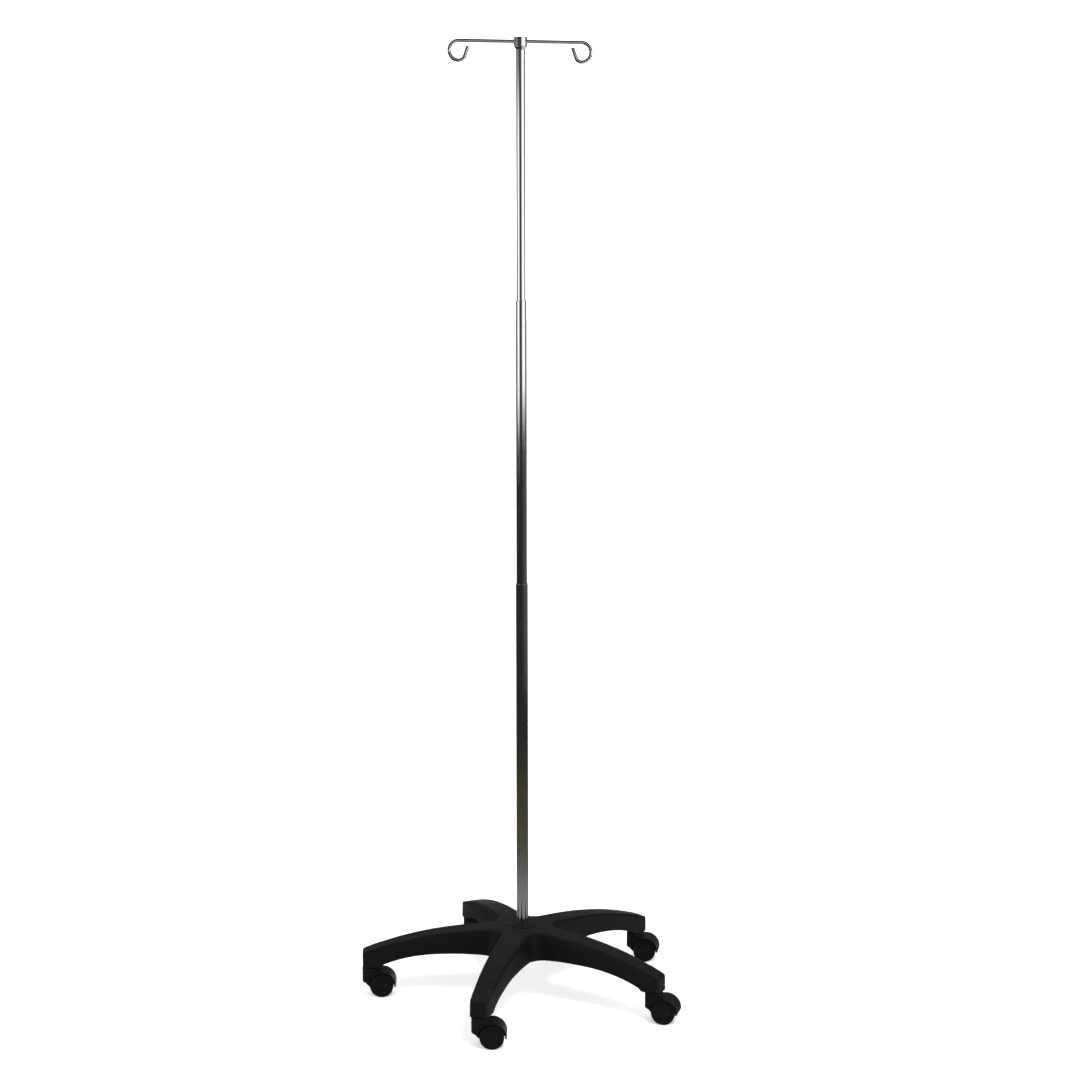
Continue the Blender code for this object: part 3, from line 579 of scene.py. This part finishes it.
def leg_outline(height, inset):
    """One leg's share of the base's plan, from its right side round to the crotch on its left."""
    share = (height - LOW_PLAN_HEIGHT) / (HIGH_PLAN_HEIGHT - LOW_PLAN_HEIGHT)
    at_axis, at_end = (
        low_width + share * (high_width - low_width)
        for low_width, high_width in zip(LOW_HALF_WIDTHS, HIGH_HALF_WIDTHS)
    )
    slope = (at_axis - at_end) / BASE_RADIUS
    lean = atan2(slope, 1)
    at_axis -= inset / cos(lean)
    fillet = CROTCH_RADIUS + inset
    reach = (fillet / cos(lean) + at_axis) / (sin(HALF_SECTOR) + slope * cos(HALF_SECTOR))
    crotch = (reach * cos(HALF_SECTOR), reach * sin(HALF_SECTOR))
    corner_radius = LEG_CORNER_RADIUS - inset
    corner_x = BASE_RADIUS - LEG_CORNER_RADIUS
    corner_y = at_axis - slope * corner_x - corner_radius / cos(lean)
    start_x = reach * cos(HALF_SECTOR) - fillet * sin(lean)
    run = END_BLOCK_START - STEP_LEAD - start_x
    along = [start_x + run * i / SIDE_STEPS for i in range(1, SIDE_STEPS + 1)]
    along += [END_BLOCK_START + END_BLOCK_STEP * share for share in STEP_SHARES]
    left = [(x, at_axis - slope * x) for x in along]
    right = [(x, -y) for x, y in left]
    right_corner = arc((corner_x, -corner_y), corner_radius, lean - pi / 2, 0, CORNER_STEPS)
    left_corner = arc((corner_x, corner_y), corner_radius, 0, pi / 2 - lean, CORNER_STEPS)
    end_x = right_corner[-1][0]
    end_face = [(end_x, y) for y in spread(-corner_y, corner_y, END_STEPS)]
    start = -pi / 2 - lean
    crotch_arc = arc(crotch, fillet, start, 2 * HALF_SECTOR - 2 * pi - start, CROTCH_STEPS)
    return right + right_corner + end_face + left_corner + left[::-1] + crotch_arc


def edge_rounding(count):
    """The top edge's rounding at each point of leg_outline: wide along a side, tight at the end."""
    side = (count - CROTCH_STEPS - 1 - 2 * (CORNER_STEPS + 1) - END_STEPS) // 2
    fade = 7
    radii = [SIDE_EDGE_RADIUS] * (side - fade)
    radii += spread(SIDE_EDGE_RADIUS, END_EDGE_RADIUS, fade)
    radii += [END_EDGE_RADIUS] * (CORNER_STEPS + 1)
    middle = [END_EDGE_RADIUS] * END_STEPS
    return radii + middle + radii[::-1] + [SIDE_EDGE_RADIUS] * (CROTCH_STEPS + 1)


class StarSkin:
    """Rings of points that follow the base's plan, at any inset and height."""

    STEP = 0.001  # the inset at which the second of each pair of outlines is measured

    def __init__(self):
        self.low = leg_outline(LOW_PLAN_HEIGHT, 0)
        self.low_inset = leg_outline(LOW_PLAN_HEIGHT, self.STEP)
        self.high = leg_outline(HIGH_PLAN_HEIGHT, 0)
        self.high_inset = leg_outline(HIGH_PLAN_HEIGHT, self.STEP)
        self.rounding = edge_rounding(len(self.low))
        self.count = len(self.low)

    def flat_point(self, i, height, inset):
        """Point i of the plan at a height, moved in by the inset."""
        low_point = Vector(self.low[i]).lerp(Vector(self.low_inset[i]), inset / self.STEP)
        high_point = Vector(self.high[i]).lerp(Vector(self.high_inset[i]), inset / self.STEP)
        share = (height - LOW_PLAN_HEIGHT) / (HIGH_PLAN_HEIGHT - LOW_PLAN_HEIGHT)
        return low_point.lerp(high_point, share)

    def point(self, i, height_at, inset):
        """The place of point i where height_at(radius, i) gives its height."""
        height = HIGH_PLAN_HEIGHT
        for _ in range(3):
            flat = self.flat_point(i, height, inset)
            height = height_at(flat.length, i)
        return Vector((flat.x, flat.y, height))

    def ring(self, bm, height_at, inset_at):
        """New points right round the base."""
        ring = []
        for leg in range(LEG_COUNT):
            turn = Matrix.Rotation(leg_angle(leg), 3, "Z")
            for i in range(self.count):
                ring.append(bm.verts.new(turn @ self.point(i, height_at, inset_at(i))))
        return ring


def join_rings(bm, first, second):
    """Faces between two closed rings of points."""
    count = len(first)
    for i in range(count):
        after = (i + 1) % count
        bm.faces.new((first[i], first[after], second[after], second[i]))


def fill_star(bm, ring, count):
    """Close a ring with strips across each leg and one face over the hub."""
    across = (count - CROTCH_STEPS - 1) // 2
    hub = []
    for leg in range(LEG_COUNT):
        start = leg * count
        right = [ring[start + i] for i in range(across)]
        left = [ring[start + count - CROTCH_STEPS - 2 - i] for i in range(across)]
        for i in range(across - 1):
            bm.faces.new((right[i], right[i + 1], left[i + 1], left[i]))
        hub += [right[0], left[0]]
        hub += [ring[start + count - CROTCH_STEPS - 1 + i] for i in range(CROTCH_STEPS + 1)]
    bm.faces.new(hub)


def top_rings(bm, skin):
    """The flat top, then the rounding down over its edge."""
    rounding = skin.rounding
    for inset in TOP_INSETS:
        yield skin.ring(
            bm,
            lambda radius, i: leg_top(radius),
            lambda i: max(inset, rounding[i]),
        )
    steps = 7
    for step in range(steps + 1):
        angle = pi / 2 * (1 - step / steps)
        yield skin.ring(
            bm,
            lambda radius, i: leg_top(radius) - rounding[i] * (1 - sin(angle)),
            lambda i: rounding[i] * (1 - cos(angle)),
        )


def wall_rings(bm, skin):
    """The sides, between the rounded edges."""
    for share in (0.25, 0.5, 0.75):
        yield skin.ring(
            bm,
            lambda radius, i: (1 - share) * (leg_top(radius) - skin.rounding[i])
            + share * (leg_underside(radius) + RIM_RADIUS),
            lambda i: 0.0,
        )


def rim_rings(bm, skin):
    """The rounded lower edge and the underside inside it."""
    steps = 3
    for step in range(steps + 1):
        angle = pi / 2 * step / steps
        yield skin.ring(
            bm,
            lambda radius, i: leg_underside(radius) + RIM_RADIUS * (1 - sin(angle)),
            lambda i: RIM_RADIUS * (1 - cos(angle)),
        )
    for inset in UNDERSIDE_INSETS:
        yield skin.ring(bm, lambda radius, i: leg_underside(radius), lambda i: inset)


def star_body():
    """The base's outer skin as one closed solid, before its underside is hollowed."""
    skin = StarSkin()
    bm = bmesh.new()
    rings = [*top_rings(bm, skin), *wall_rings(bm, skin), *rim_rings(bm, skin)]
    for first, second in zip(rings, rings[1:]):
        join_rings(bm, first, second)
    fill_star(bm, rings[0], skin.count)
    fill_star(bm, rings[-1], skin.count)
    return finished("base_shell", bm, merge=0)


def star_prism(low_height, high_height, inset):
    """The base's plan between two heights, moved in by the inset."""
    bm = bmesh.new()
    skin = StarSkin()
    rings = []
    for height in (low_height, high_height):
        rings.append(skin.ring(bm, lambda radius, i: height, lambda i: inset))
    join_rings(bm, *rings)
    for ring in rings:
        bm.faces.new(ring)
    return finished("prism", bm, merge=0)


def rib_plates(low_height, high_height):
    """One upright plate along the middle of each leg."""
    bm = bmesh.new()
    start = 4 * RIB_THICKNESS
    size = (BASE_RADIUS - start, RIB_THICKNESS, high_height - low_height)
    middle = Matrix.Translation((start + size[0] / 2, 0, (low_height + high_height) / 2))
    for index in range(LEG_COUNT):
        turn = Matrix.Rotation(leg_angle(index), 4, "Z")
        bmesh.ops.create_cube(bm, size=1, matrix=turn @ middle @ Matrix.Diagonal((*size, 1)))
    return finished("rib_plates", bm)


def pocket_cutters():
    """The hollows under the base, between the hub wall, the cross ribs and the end blocks."""
    bottom = END_BLOCK_UNDERSIDE - CUT_MARGIN
    edges = (HUB_WALL_RADIUS, *CROSS_RIB_RADII, END_BLOCK_START - SHELL_WALL)
    for inner, outer in zip(edges, edges[1:]):
        first, last = inner + RIB_THICKNESS / 2, outer - RIB_THICKNESS / 2
        reach = [first, *spread(first, last, 6), last]
        roof = [(radius, leg_top(radius) - SHELL_WALL) for radius in reach]
        cutter = turned("bay", roof + [(last, bottom), (first, bottom)], 180)
        plan = star_prism(bottom - CUT_MARGIN, HUB_TOP, SHELL_WALL)
        combine(cutter, plan, "INTERSECT", "MANIFOLD")
        ribs = rib_plates(bottom - CUT_MARGIN, HUB_TOP)
        yield combine(cutter, ribs, "DIFFERENCE", "MANIFOLD")


def hub_recess_cutter(above):
    """The round recess for the bushing's flange, with a rounded rim."""
    rim = (HUB_RECESS_RADIUS + HUB_RECESS_EDGE, HUB_TOP - HUB_RECESS_EDGE)
    profile = [(0, above), (rim[0], above), *arc(rim, HUB_RECESS_EDGE, pi / 2, pi, 6)]
    profile += [(HUB_RECESS_RADIUS, HUB_RECESS_FLOOR), (0, HUB_RECESS_FLOOR)]
    return turned("recess", profile, closed=False)


def socket_hole(index, bottom):
    hole = turned("hole", rod_profile(SOCKET_HOLE_RADIUS, bottom, SOCKET_TOP), 40, closed=False)
    angle = leg_angle(index)
    hole.location = (CASTER_RADIUS * cos(angle), CASTER_RADIUS * sin(angle), 0)
    return hole


def make_base():
    base = star_body()
    for cutter in pocket_cutters():
        combine(base, cutter, "DIFFERENCE", "MANIFOLD")
    below, above = END_BLOCK_UNDERSIDE - CUT_MARGIN, HUB_TOP + CUT_MARGIN
    hub_hole = turned("hub_hole", rod_profile(HUB_HOLE_RADIUS, below, above), closed=False)
    combine(base, hub_hole, "DIFFERENCE", "MANIFOLD")
    combine(base, hub_recess_cutter(above), "DIFFERENCE", "MANIFOLD")
    for index in range(LEG_COUNT):
        combine(base, socket_hole(index, below), "DIFFERENCE", "MANIFOLD")
    shell = shown("base_shell", baked(base), 30)
    dress(shell, "base", "base", ["base_star"])


def make_bushing():
    """The flanged bushing round the pole's foot."""
    foot, top = low("pole_bushing").z, high("pole_bushing").z
    flange = high("pole_bushing").x
    bore = high("lower_tube").x + CLEARANCE
    body = HUB_HOLE_RADIUS - CLEARANCE
    under = HUB_RECESS_FLOOR + CLEARANCE
    profile = rounded((
        (bore, top, 0.0008), (flange, top, 0.0014), (flange, under, 0.0003), (body, under),
        (body, foot, 0.001), (bore, foot, 0.0005),
    ))
    dress(turned("bushing", profile), "base", "base", ["pole_bushing"])


# ================================================================ pole
def make_tubes():
    """The three chromed tubes, each with a rolled upper lip."""
    for name, body in TUBE_NODES.items():
        node = f"{name}_tube"
        bottom, top, radius = low(node).z, high(node).z, high(node).x
        inner = radius - TUBE_WALL
        profile = rounded((
            (inner, top, LIP_RADIUS), (radius, top, LIP_RADIUS),
            (radius, bottom, FOOT_EDGE), (inner, bottom, FOOT_EDGE),
        ))
        dress(turned(f"{name}_chrome_tube", profile), "tube", body, [node])


# ================================================================ hook
def make_cap():
    """The turned cap, its neck tapering to the upper tube, with a spigot inside the tube."""
    radius = high("upper_tube").x
    spigot = radius - TUBE_WALL - CLEARANCE
    side_low = POLE_HEIGHT - CAP_LENGTH
    shoulder = side_low - CAP_NECK_LENGTH
    profile = rounded((
        (0, POLE_HEIGHT), (CAP_RADIUS, POLE_HEIGHT, 0.0012), (CAP_RADIUS, side_low, 0.0015),
        (radius, shoulder, FOOT_EDGE), (spigot, shoulder), (spigot, low("hook_cap").z, 0.0008),
        (0, low("hook_cap").z),
    ))
    dress(turned("cap", profile, closed=False), "hook", "upper_section", ["hook_cap"])


def hook_path():
    """The rod's centre line as (along, height) points from one tip to the other."""
    centre = (HOOK_HALF_SPAN - HOOK_ROD_RADIUS - HOOK_LOOP_RADIUS, -HOOK_LOOP_RADIUS)
    loop = arc(centre, HOOK_LOOP_RADIUS, pi / 2, -pi / 2, LOOP_STEPS)
    curl_centre = (centre[0], HOOK_CURL_RADIUS - 2 * HOOK_LOOP_RADIUS)
    end_angle = -pi / 2 - HOOK_CURL_SWEEP
    curl = arc(curl_centre, HOOK_CURL_RADIUS, -pi / 2, end_angle, CURL_STEPS)
    heading = Vector((sin(end_angle), -cos(end_angle)))
    bend_end = Vector(curl[-1])
    reach = [HOOK_TIP_LENGTH * i / TIP_STEPS for i in range(1, TIP_STEPS + 1)]
    tip = [tuple(bend_end + heading * distance) for distance in reach]
    arm = [(along, 0.0) for along in spread(0, centre[0], ARM_STEPS)]
    half = [*arm, *loop, *curl[1:], *tip]
    return [(-along, height) for along, height in reversed(half)] + [(0.0, 0.0)] + half


def rounded_end(point, along, sign, radius, edge, steps=4):
    """Stations (place, direction, radius) that round the edge of a rod's cut end."""
    stations = []
    for step in range(steps + 1):
        angle = pi / 2 * step / steps
        place = point + along * sign * edge * (sin(angle) - 1)
        stations.append((place, along, radius - edge * (1 - cos(angle))))
    return stations


def swept(name, path, radius, edge, sides=32):
    """A round rod along a path in the XZ plane, its cut ends a little rounded at the edge."""
    points = [Vector((x, 0, z)) for x, z in path]
    stations = []
    for i, point in enumerate(points):
        ahead = points[min(i + 1, len(points) - 1)] - points[max(i - 1, 0)]
        stations.append((point, ahead.normalized(), radius))
    first_end = rounded_end(*stations[0][:2], -1, radius, edge)
    last_end = rounded_end(*stations[-1][:2], 1, radius, edge)
    stations = first_end[::-1] + stations[1:-1] + last_end
    bm = bmesh.new()
    rings = []
    side = Vector((0, 1, 0))
    for point, along, width in stations:
        up = along.cross(side)
        circle = arc((0, 0), width, 0, 2 * pi, sides)[:-1]
        rings.append([bm.verts.new(point + across * side + rise * up) for across, rise in circle])
    for first, second in zip(rings, rings[1:]):
        join_rings(bm, first, second)
    bm.faces.new(rings[0])
    bm.faces.new(rings[-1])
    return finished(name, bm, 60)


def make_hook():
    """The bent rod and the two weld beads where it enters the cap."""
    turn = Matrix.Translation((0, 0, HOOK_HEIGHT)) @ Matrix.Rotation(HOOK_ANGLE, 4, "Z")
    rod = swept("hook_rod", hook_path(), HOOK_ROD_RADIUS, HOOK_TIP_EDGE)
    rod.data.transform(turn)
    dress(rod, "hook", "upper_section", ["hook_bar"])
    for side, word in ((-1, "left"), (1, "right")):
        weld = weld_bead(f"weld_{word}", side)
        weld.data.transform(turn)
        dress(weld, "weld", "upper_section")


def weld_bead(name, side):
    """A rippled bead round the rod, lying against the round side of the cap."""
    bm = bmesh.new()
    around, section = 72, 12
    rings = []
    for i in range(around):
        angle = 2 * pi * i / around
        ripple = 1 + 0.10 * sin(11 * angle) + 0.05 * sin(17 * angle + 1)
        y, z = cos(angle), sin(angle)
        middle = HOOK_ROD_RADIUS + 0.0002
        on_cap = (CAP_RADIUS**2 - (middle * y) ** 2) ** 0.5
        ring = []
        for j in range(section):
            turn = 2 * pi * j / section
            out = middle + WELD_RADIUS * ripple * cos(turn)
            along = on_cap + WELD_RADIUS * ripple * sin(turn) * 0.9
            ring.append(bm.verts.new((side * along, out * y, out * z)))
        rings.append(ring)
    for i in range(around):
        join_rings(bm, rings[i], rings[(i + 1) % around])
    return finished(name, bm, 60)


# ================================================================ casters
def axle_outline(radius, start, end, steps):
    """Points round the axle, seen from the side."""
    return arc((CASTER_TRAIL, WHEEL_RADIUS), radius, start, end, steps)


def joined(name, pieces):
    """One object from several overlapping solids, which are used up."""
    bm = bmesh.new()
    for piece in pieces:
        bm.from_mesh(piece.data)
        bpy.data.objects.remove(piece)
    return finished(name, bm, merge=0)


def boss_solid(inside):
    """The round boss on the swivel axis, with a well on each side that the wheel turns in."""
    profile = rounded((
        (0, BOSS_TOP), (BOSS_RADIUS, BOSS_TOP, 0.0018), (BOSS_RADIUS, BOSS_UNDERSIDE, 0.0035),
        (0, BOSS_UNDERSIDE),
    ))
    boss = turned("boss", profile, 72, closed=False)
    for side in (-1, 1):
        well = turned("well", rod_profile(inside - 0.0002, 0, 0.03), 72, closed=False)
        start = Matrix.Translation((CASTER_TRAIL, side * WEB_HALF_WIDTH, WHEEL_RADIUS))
        well.matrix_basis = start @ Matrix.Rotation(-side * pi / 2, 4, "X")
        combine(boss, well, "DIFFERENCE")
    return boss


def hood_solids(inside):
    """The hood round the wheels and the lip along each of its open edges."""
    tail, front = HOOD_ANGLES
    outline = axle_outline(HOOD_RADIUS, tail, front, 48) + axle_outline(inside, front, tail, 48)
    solids = [extruded("hood", outline, -HOOD_HALF_WIDTH, HOOD_HALF_WIDTH)]
    lip = axle_outline(inside + HOOD_LIP_OVERLAP, tail, front, 48)
    lip += axle_outline(HOOD_LIP_RADIUS, front, tail, 48)
    for side in (-1, 1):
        edge = side * HOOD_HALF_WIDTH
        solids.append(extruded("lip", lip, edge, edge - side * HOOD_LIP_WIDTH))
    return solids


def web_solid():
    """The plate between the two wheels."""
    web = axle_outline(HOOD_RADIUS - WEB_TOP_MARGIN, *HOOD_ANGLES, 40) + WEB_NOSE
    web += axle_outline(WEB_TOE_RADIUS, radians(225), radians(335), 12)
    return extruded("web", web, -WEB_HALF_WIDTH, WEB_HALF_WIDTH)


def soften(piece):
    """Melt a piece's overlapping solids into one surface with rounded edges."""
    melt = piece.modifiers.new("Melt", "REMESH")
    melt.mode = "VOXEL"
    melt.voxel_size = 0.00055
    smooth = piece.modifiers.new("Smooth", "SMOOTH")
    smooth.factor = 0.5
    smooth.iterations = 5
    thin = piece.modifiers.new("Thin", "DECIMATE")
    thin.ratio = 0.30
    apply_modifiers(piece)


def cover_mesh():
    """The caster's hood, web and boss as one softly rounded moulding. X is the way it trails."""
    inside = HOOD_RADIUS - HOOD_THICKNESS
    cover = joined("cover", [*hood_solids(inside), web_solid(), boss_solid(inside)])
    soften(cover)
    hole = rod_profile(PIVOT_HOLE_RADIUS, *PIVOT_HOLE_ENDS)
    combine(cover, turned("pivot_hole", hole, 32, closed=False), "DIFFERENCE", "MANIFOLD")
    return baked(cover)


def wheel_mesh():
    """One wheel about Z, its outer face up: crowned tread, sunk ring and a low hub cap."""
    width, radius = WHEEL_WIDTH, WHEEL_RADIUS
    ring_inside, ring_outside = WHEEL_RING_RADII
    back_inside, back_outside = WHEEL_BACK_RADII
    bore_end = width - 0.0030
    profile = rounded((
        (0, width), (WHEEL_CAP_RADIUS, width, 0.0010),
        (ring_inside, width - 0.0016, 0.0006), (ring_outside, width - 0.0020, 0.0008),
        (WHEEL_RIM_RADIUS, width, 0.0006), (radius - WHEEL_CROWN, width, 0.0024),
        (radius, width * 0.5), (radius - WHEEL_CROWN, 0, 0.0014),
        (back_outside + 0.0015, 0, 0.0004), (back_outside, WHEEL_BACK_DEPTH, 0.0006),
        (back_inside, WHEEL_BACK_DEPTH, 0.0006), (back_inside - 0.0008, 0, 0.0004),
        (WHEEL_BORE_RADIUS, 0), (WHEEL_BORE_RADIUS, bore_end), (0, bore_end),
    ))
    return baked(turned("wheel", profile, 128, closed=False, sharp_angle=50))


def stem_mesh():
    """The caster's stem: grip, flange, pivot and head."""
    top, bottom = high("caster_stem_1").z, low("caster_stem_1").z
    flange_low, flange_top = BOSS_TOP + CLEARANCE, END_BLOCK_UNDERSIDE - CLEARANCE
    profile = rounded((
        (0, top), (STEM_GRIP_RADIUS, top, 0.001), (STEM_GRIP_RADIUS, flange_top),
        (STEM_FLANGE_RADIUS, flange_top, 0.0003), (STEM_FLANGE_RADIUS, flange_low, 0.0003),
        (STEM_PIVOT_RADIUS, flange_low), (STEM_PIVOT_RADIUS, bottom + 0.004),
        (STEM_HEAD_RADIUS, bottom + 0.003), (STEM_HEAD_RADIUS, bottom, 0.0005), (0, bottom),
    ))
    return baked(turned("stem", profile, 48, closed=False))


def make_casters():
    """Each caster's stem, cover and two wheels, turned the way its axle trails."""
    cover, wheel, stem = cover_mesh(), wheel_mesh(), stem_mesh()
    for number in range(1, LEG_COUNT + 1):
        swivel = Vector(joints[f"caster_{number}_swivel"]["pos_m"])
        axle = Vector(joints[f"wheel_{number}_left_spin"]["pos_m"])
        yaw = atan2(axle.y - swivel.y, axle.x - swivel.x)
        on_swivel = Matrix.Translation((swivel.x, swivel.y, 0)) @ Matrix.Rotation(yaw, 4, "Z")

        pin = shown(f"stem_{number}", stem.copy())
        pin.matrix_world = on_swivel
        dress(pin, "steel", "base", [f"caster_stem_{number}"])

        shell = shown(f"caster_cover_{number}", cover.copy(), 60)
        shell.matrix_world = on_swivel
        dress(shell, "cover", f"caster_{number}", [f"caster_housing_{number}"])

        for side, word in ((1, "left"), (-1, "right")):
            face = Matrix.Translation((CASTER_TRAIL, side * WHEEL_INNER_FACE, WHEEL_RADIUS))
            rolling = shown(f"wheel_{number}_{word}", wheel.copy(), 50)
            rolling.matrix_world = on_swivel @ face @ Matrix.Rotation(-side * pi / 2, 4, "X")
            body = f"wheel_{number}_{word}"
            dress(rolling, "wheel", body, [f"caster_wheel_{number}_{word}"])


# ================================================================ CAD nodes that stay
def finish_hidden_nodes():
    """Materials and soft shading for the CAD pieces that stay."""
    by_slot = {"zinc_steel": "steel", "natural_acetal": "acetal", "black_nylon": "base"}
    for entry in frame["record"]["subparts"]:
        node = nodes[entry["node"]]
        if not node.hide_render:
            dress(node, by_slot[entry["material_slot"]])
            node.data.shade_smooth()
            node.data.set_sharp_from_angle(angle=radians(32))


# ================================================================ studio
def make_floor():
    """A matt, nearly white floor."""
    bpy.ops.mesh.primitive_plane_add(size=60)
    floor = bpy.context.object
    floor.name = "floor"
    shade = Shade("pale_floor", (0.93, 0.93, 0.93), 0.9)
    tone = shade.mix(shade.noise(2.5, 2), (0.925, 0.925, 0.925), (0.94, 0.94, 0.94))
    shade.set("Base Color", tone)
    shade.shader.inputs["Specular IOR Level"].default_value = 0.0
    floor.data.materials.append(shade.material)
    floor.visible_glossy = False


class Sky(Nodes):
    """The world's nodes, which read a direction as its azimuth and its slope.

    The azimuth is 0 on the camera's side and grows towards +X. The slope is the rise over the run.
    """

    def __init__(self):
        world = bpy.data.worlds.new("studio")
        bpy.context.scene.world = world
        world.use_nodes = True
        super().__init__(world.node_tree)
        self.tree.nodes.clear()
        split = self.new("SeparateXYZ")
        self.link(self.new("TexCoord").outputs["Generated"], split.inputs["Vector"])
        x, y, z = split.outputs
        squares = self.math("ADD", self.times(x, x), self.times(y, y))
        run = self.math("MAXIMUM", self.math("SQRT", squares), 0.001)
        self.slope = self.math("DIVIDE", z, run)
        self.azimuth = self.math("ARCTAN2", x, self.times(y, -1.0))
        self.turn = self.math("ABSOLUTE", self.azimuth)

    def times(self, first, second):
        return self.math("MULTIPLY", first, second)

    def rise(self, value, start, end, before=0.0, after=1.0):
        """A smooth step from one level to another."""
        return self.remap(value, (start, end), (before, after))

    def band(self, value, start, end, soft):
        """1 between two values and 0 outside them."""
        opening = self.rise(value, start - soft, start + soft)
        closing = self.rise(value, end - soft, end + soft, 1.0, 0.0)
        return self.times(opening, closing)

    def box(self, azimuths, slopes):
        """1 over a soft-edged window of the room."""
        across = self.band(self.azimuth, *azimuths, radians(15))
        return self.times(across, self.band(self.slope, *slopes, 0.018))

    def mix(self, share, first, second):
        """first where share is 0 and second where it is 1."""
        wide = self.times(share, second)
        narrow = self.times(self.math("SUBTRACT", 1.0, share), first)
        return self.math("ADD", wide, narrow)


def wall_tone(sky):
    """Brightness above the horizon: a dark room with soft boxes and light from high at the back."""
    room = sky.rise(sky.turn, radians(85), radians(125), 0.045, 0.11)
    wash = sky.band(sky.azimuth, radians(-110), radians(-52), radians(8))
    room = sky.mix(sky.times(wash, sky.rise(sky.slope, 0.03, 0.07)), room, 0.20)
    walls = sky.mix(sky.box(*LEFT_BOX), room, BOX_BRIGHTNESS)
    walls = sky.mix(sky.box(*RIGHT_BOX), walls, BOX_BRIGHTNESS)
    back_light = sky.times(
        sky.rise(sky.turn, radians(95), radians(140)),
        sky.rise(sky.slope, 0.7, 2.0),
    )
    return sky.mix(back_light, walls, 0.35)


def skirting_tone(sky):
    """Brightness just below the horizon: nearly black, with a faint glow on the right."""
    side = sky.rise(sky.azimuth, radians(-20), radians(70), 0.022, 0.028)
    glow = sky.times(
        sky.band(sky.slope, -0.22, -0.10, 0.025),
        sky.rise(sky.azimuth, radians(0), radians(80), 0.0, 0.055),
    )
    return sky.math("ADD", side, glow)


def paper_tone(sky):
    """Brightness of the paper under the object, dull far off and brighter near its foot."""
    far = sky.rise(sky.slope, -0.31, -0.235, 0.085, 0.022)
    near = sky.rise(sky.slope, -0.330, -0.292, 0.26, 0.0)
    foot = sky.rise(sky.azimuth, radians(20), radians(75), 0.045, 0.70)
    return sky.mix(sky.rise(sky.slope, -0.45, -0.37), foot, sky.math("MAXIMUM", far, near))


def reflected_room(sky):
    """What the object reflects."""
    tone = sky.mix(sky.rise(sky.slope, -0.12, -0.075), skirting_tone(sky), wall_tone(sky))
    tone = sky.mix(sky.rise(sky.slope, -0.235, -0.215), paper_tone(sky), tone)
    rear_box = sky.times(
        sky.rise(sky.turn, radians(150), radians(162)),
        sky.band(sky.slope, *REAR_BOX_SLOPES, 0.03),
    )
    tone = sky.mix(rear_box, tone, REAR_BOX_BRIGHTNESS)
    warm = sky.new("Mix")
    warm.data_type = "RGBA"
    warm.inputs[6].default_value = (1.0, 1.0, 0.99, 1)
    warm.inputs[7].default_value = (1.0, 0.88, 0.62, 1)
    sky.link(sky.band(sky.slope, -0.305, -0.25, 0.02), warm.inputs["Factor"])
    background = sky.new("Background")
    sky.link(warm.outputs[2], background.inputs["Color"])
    sky.link(tone, background.inputs["Strength"])
    return background.outputs["Background"]


def plain_white(sky):
    """The even white that shows behind the object and lights it, strongest near the horizon."""
    background = sky.new("Background")
    background.inputs["Color"].default_value = (1, 1, 1, 1)
    sky.link(sky.rise(sky.slope, 0.4, 1.3, 3.2, 0.25), background.inputs["Strength"])
    return background.outputs["Background"]


def make_world():
    """Plain white for the eye and for soft light, and a photographer's studio for reflections."""
    sky = Sky()
    choose = sky.new("MixShader")
    sky.link(sky.new("LightPath").outputs["Is Glossy Ray"], choose.inputs["Fac"])
    sky.link(plain_white(sky), choose.inputs[1])
    sky.link(reflected_room(sky), choose.inputs[2])
    sky.link(choose.outputs["Shader"], sky.new("OutputWorld").inputs["Surface"])


def make_key_light():
    light = bpy.data.lights.new("key", "AREA")
    light.shape = "DISK"
    light.size = KEY_SIZE
    light.energy = KEY_POWER
    lamp = bpy.data.objects.new("key", light)
    bpy.context.scene.collection.objects.link(lamp)
    lamp.location = KEY_PLACE
    aim = Vector(KEY_TARGET) - Vector(KEY_PLACE)
    lamp.rotation_euler = aim.to_track_quat("-Z", "Y").to_euler()
    lamp.visible_glossy = False


def make_camera():
    """The camera at its place, turned by its yaw, pitch and roll."""
    level_share = cos(CAMERA_PITCH)
    forward = Vector((
        sin(CAMERA_YAW) * level_share, cos(CAMERA_YAW) * level_share, -sin(CAMERA_PITCH),
    ))
    level = Vector((cos(CAMERA_YAW), -sin(CAMERA_YAW), 0))
    upright = level.cross(forward)
    right = cos(CAMERA_ROLL) * level + sin(CAMERA_ROLL) * upright
    up = cos(CAMERA_ROLL) * upright - sin(CAMERA_ROLL) * level
    lens = bpy.data.cameras.new("camera")
    lens.sensor_width = 36
    lens.lens = CAMERA_LENS
    lens.clip_end = 100
    camera = bpy.data.objects.new("camera", lens)
    bpy.context.scene.collection.objects.link(camera)
    turn = Matrix((right, up, -forward)).transposed().to_4x4()
    camera.matrix_world = Matrix.Translation(CAMERA_PLACE) @ turn
    bpy.context.scene.camera = camera


def make_studio():
    bpy.context.scene.view_settings.view_transform = "Standard"
    make_floor()
    make_world()
    make_key_light()
    make_camera()


make_base()
make_bushing()
make_tubes()
make_cap()
make_hook()
make_casters()
finish_hidden_nodes()
make_studio()
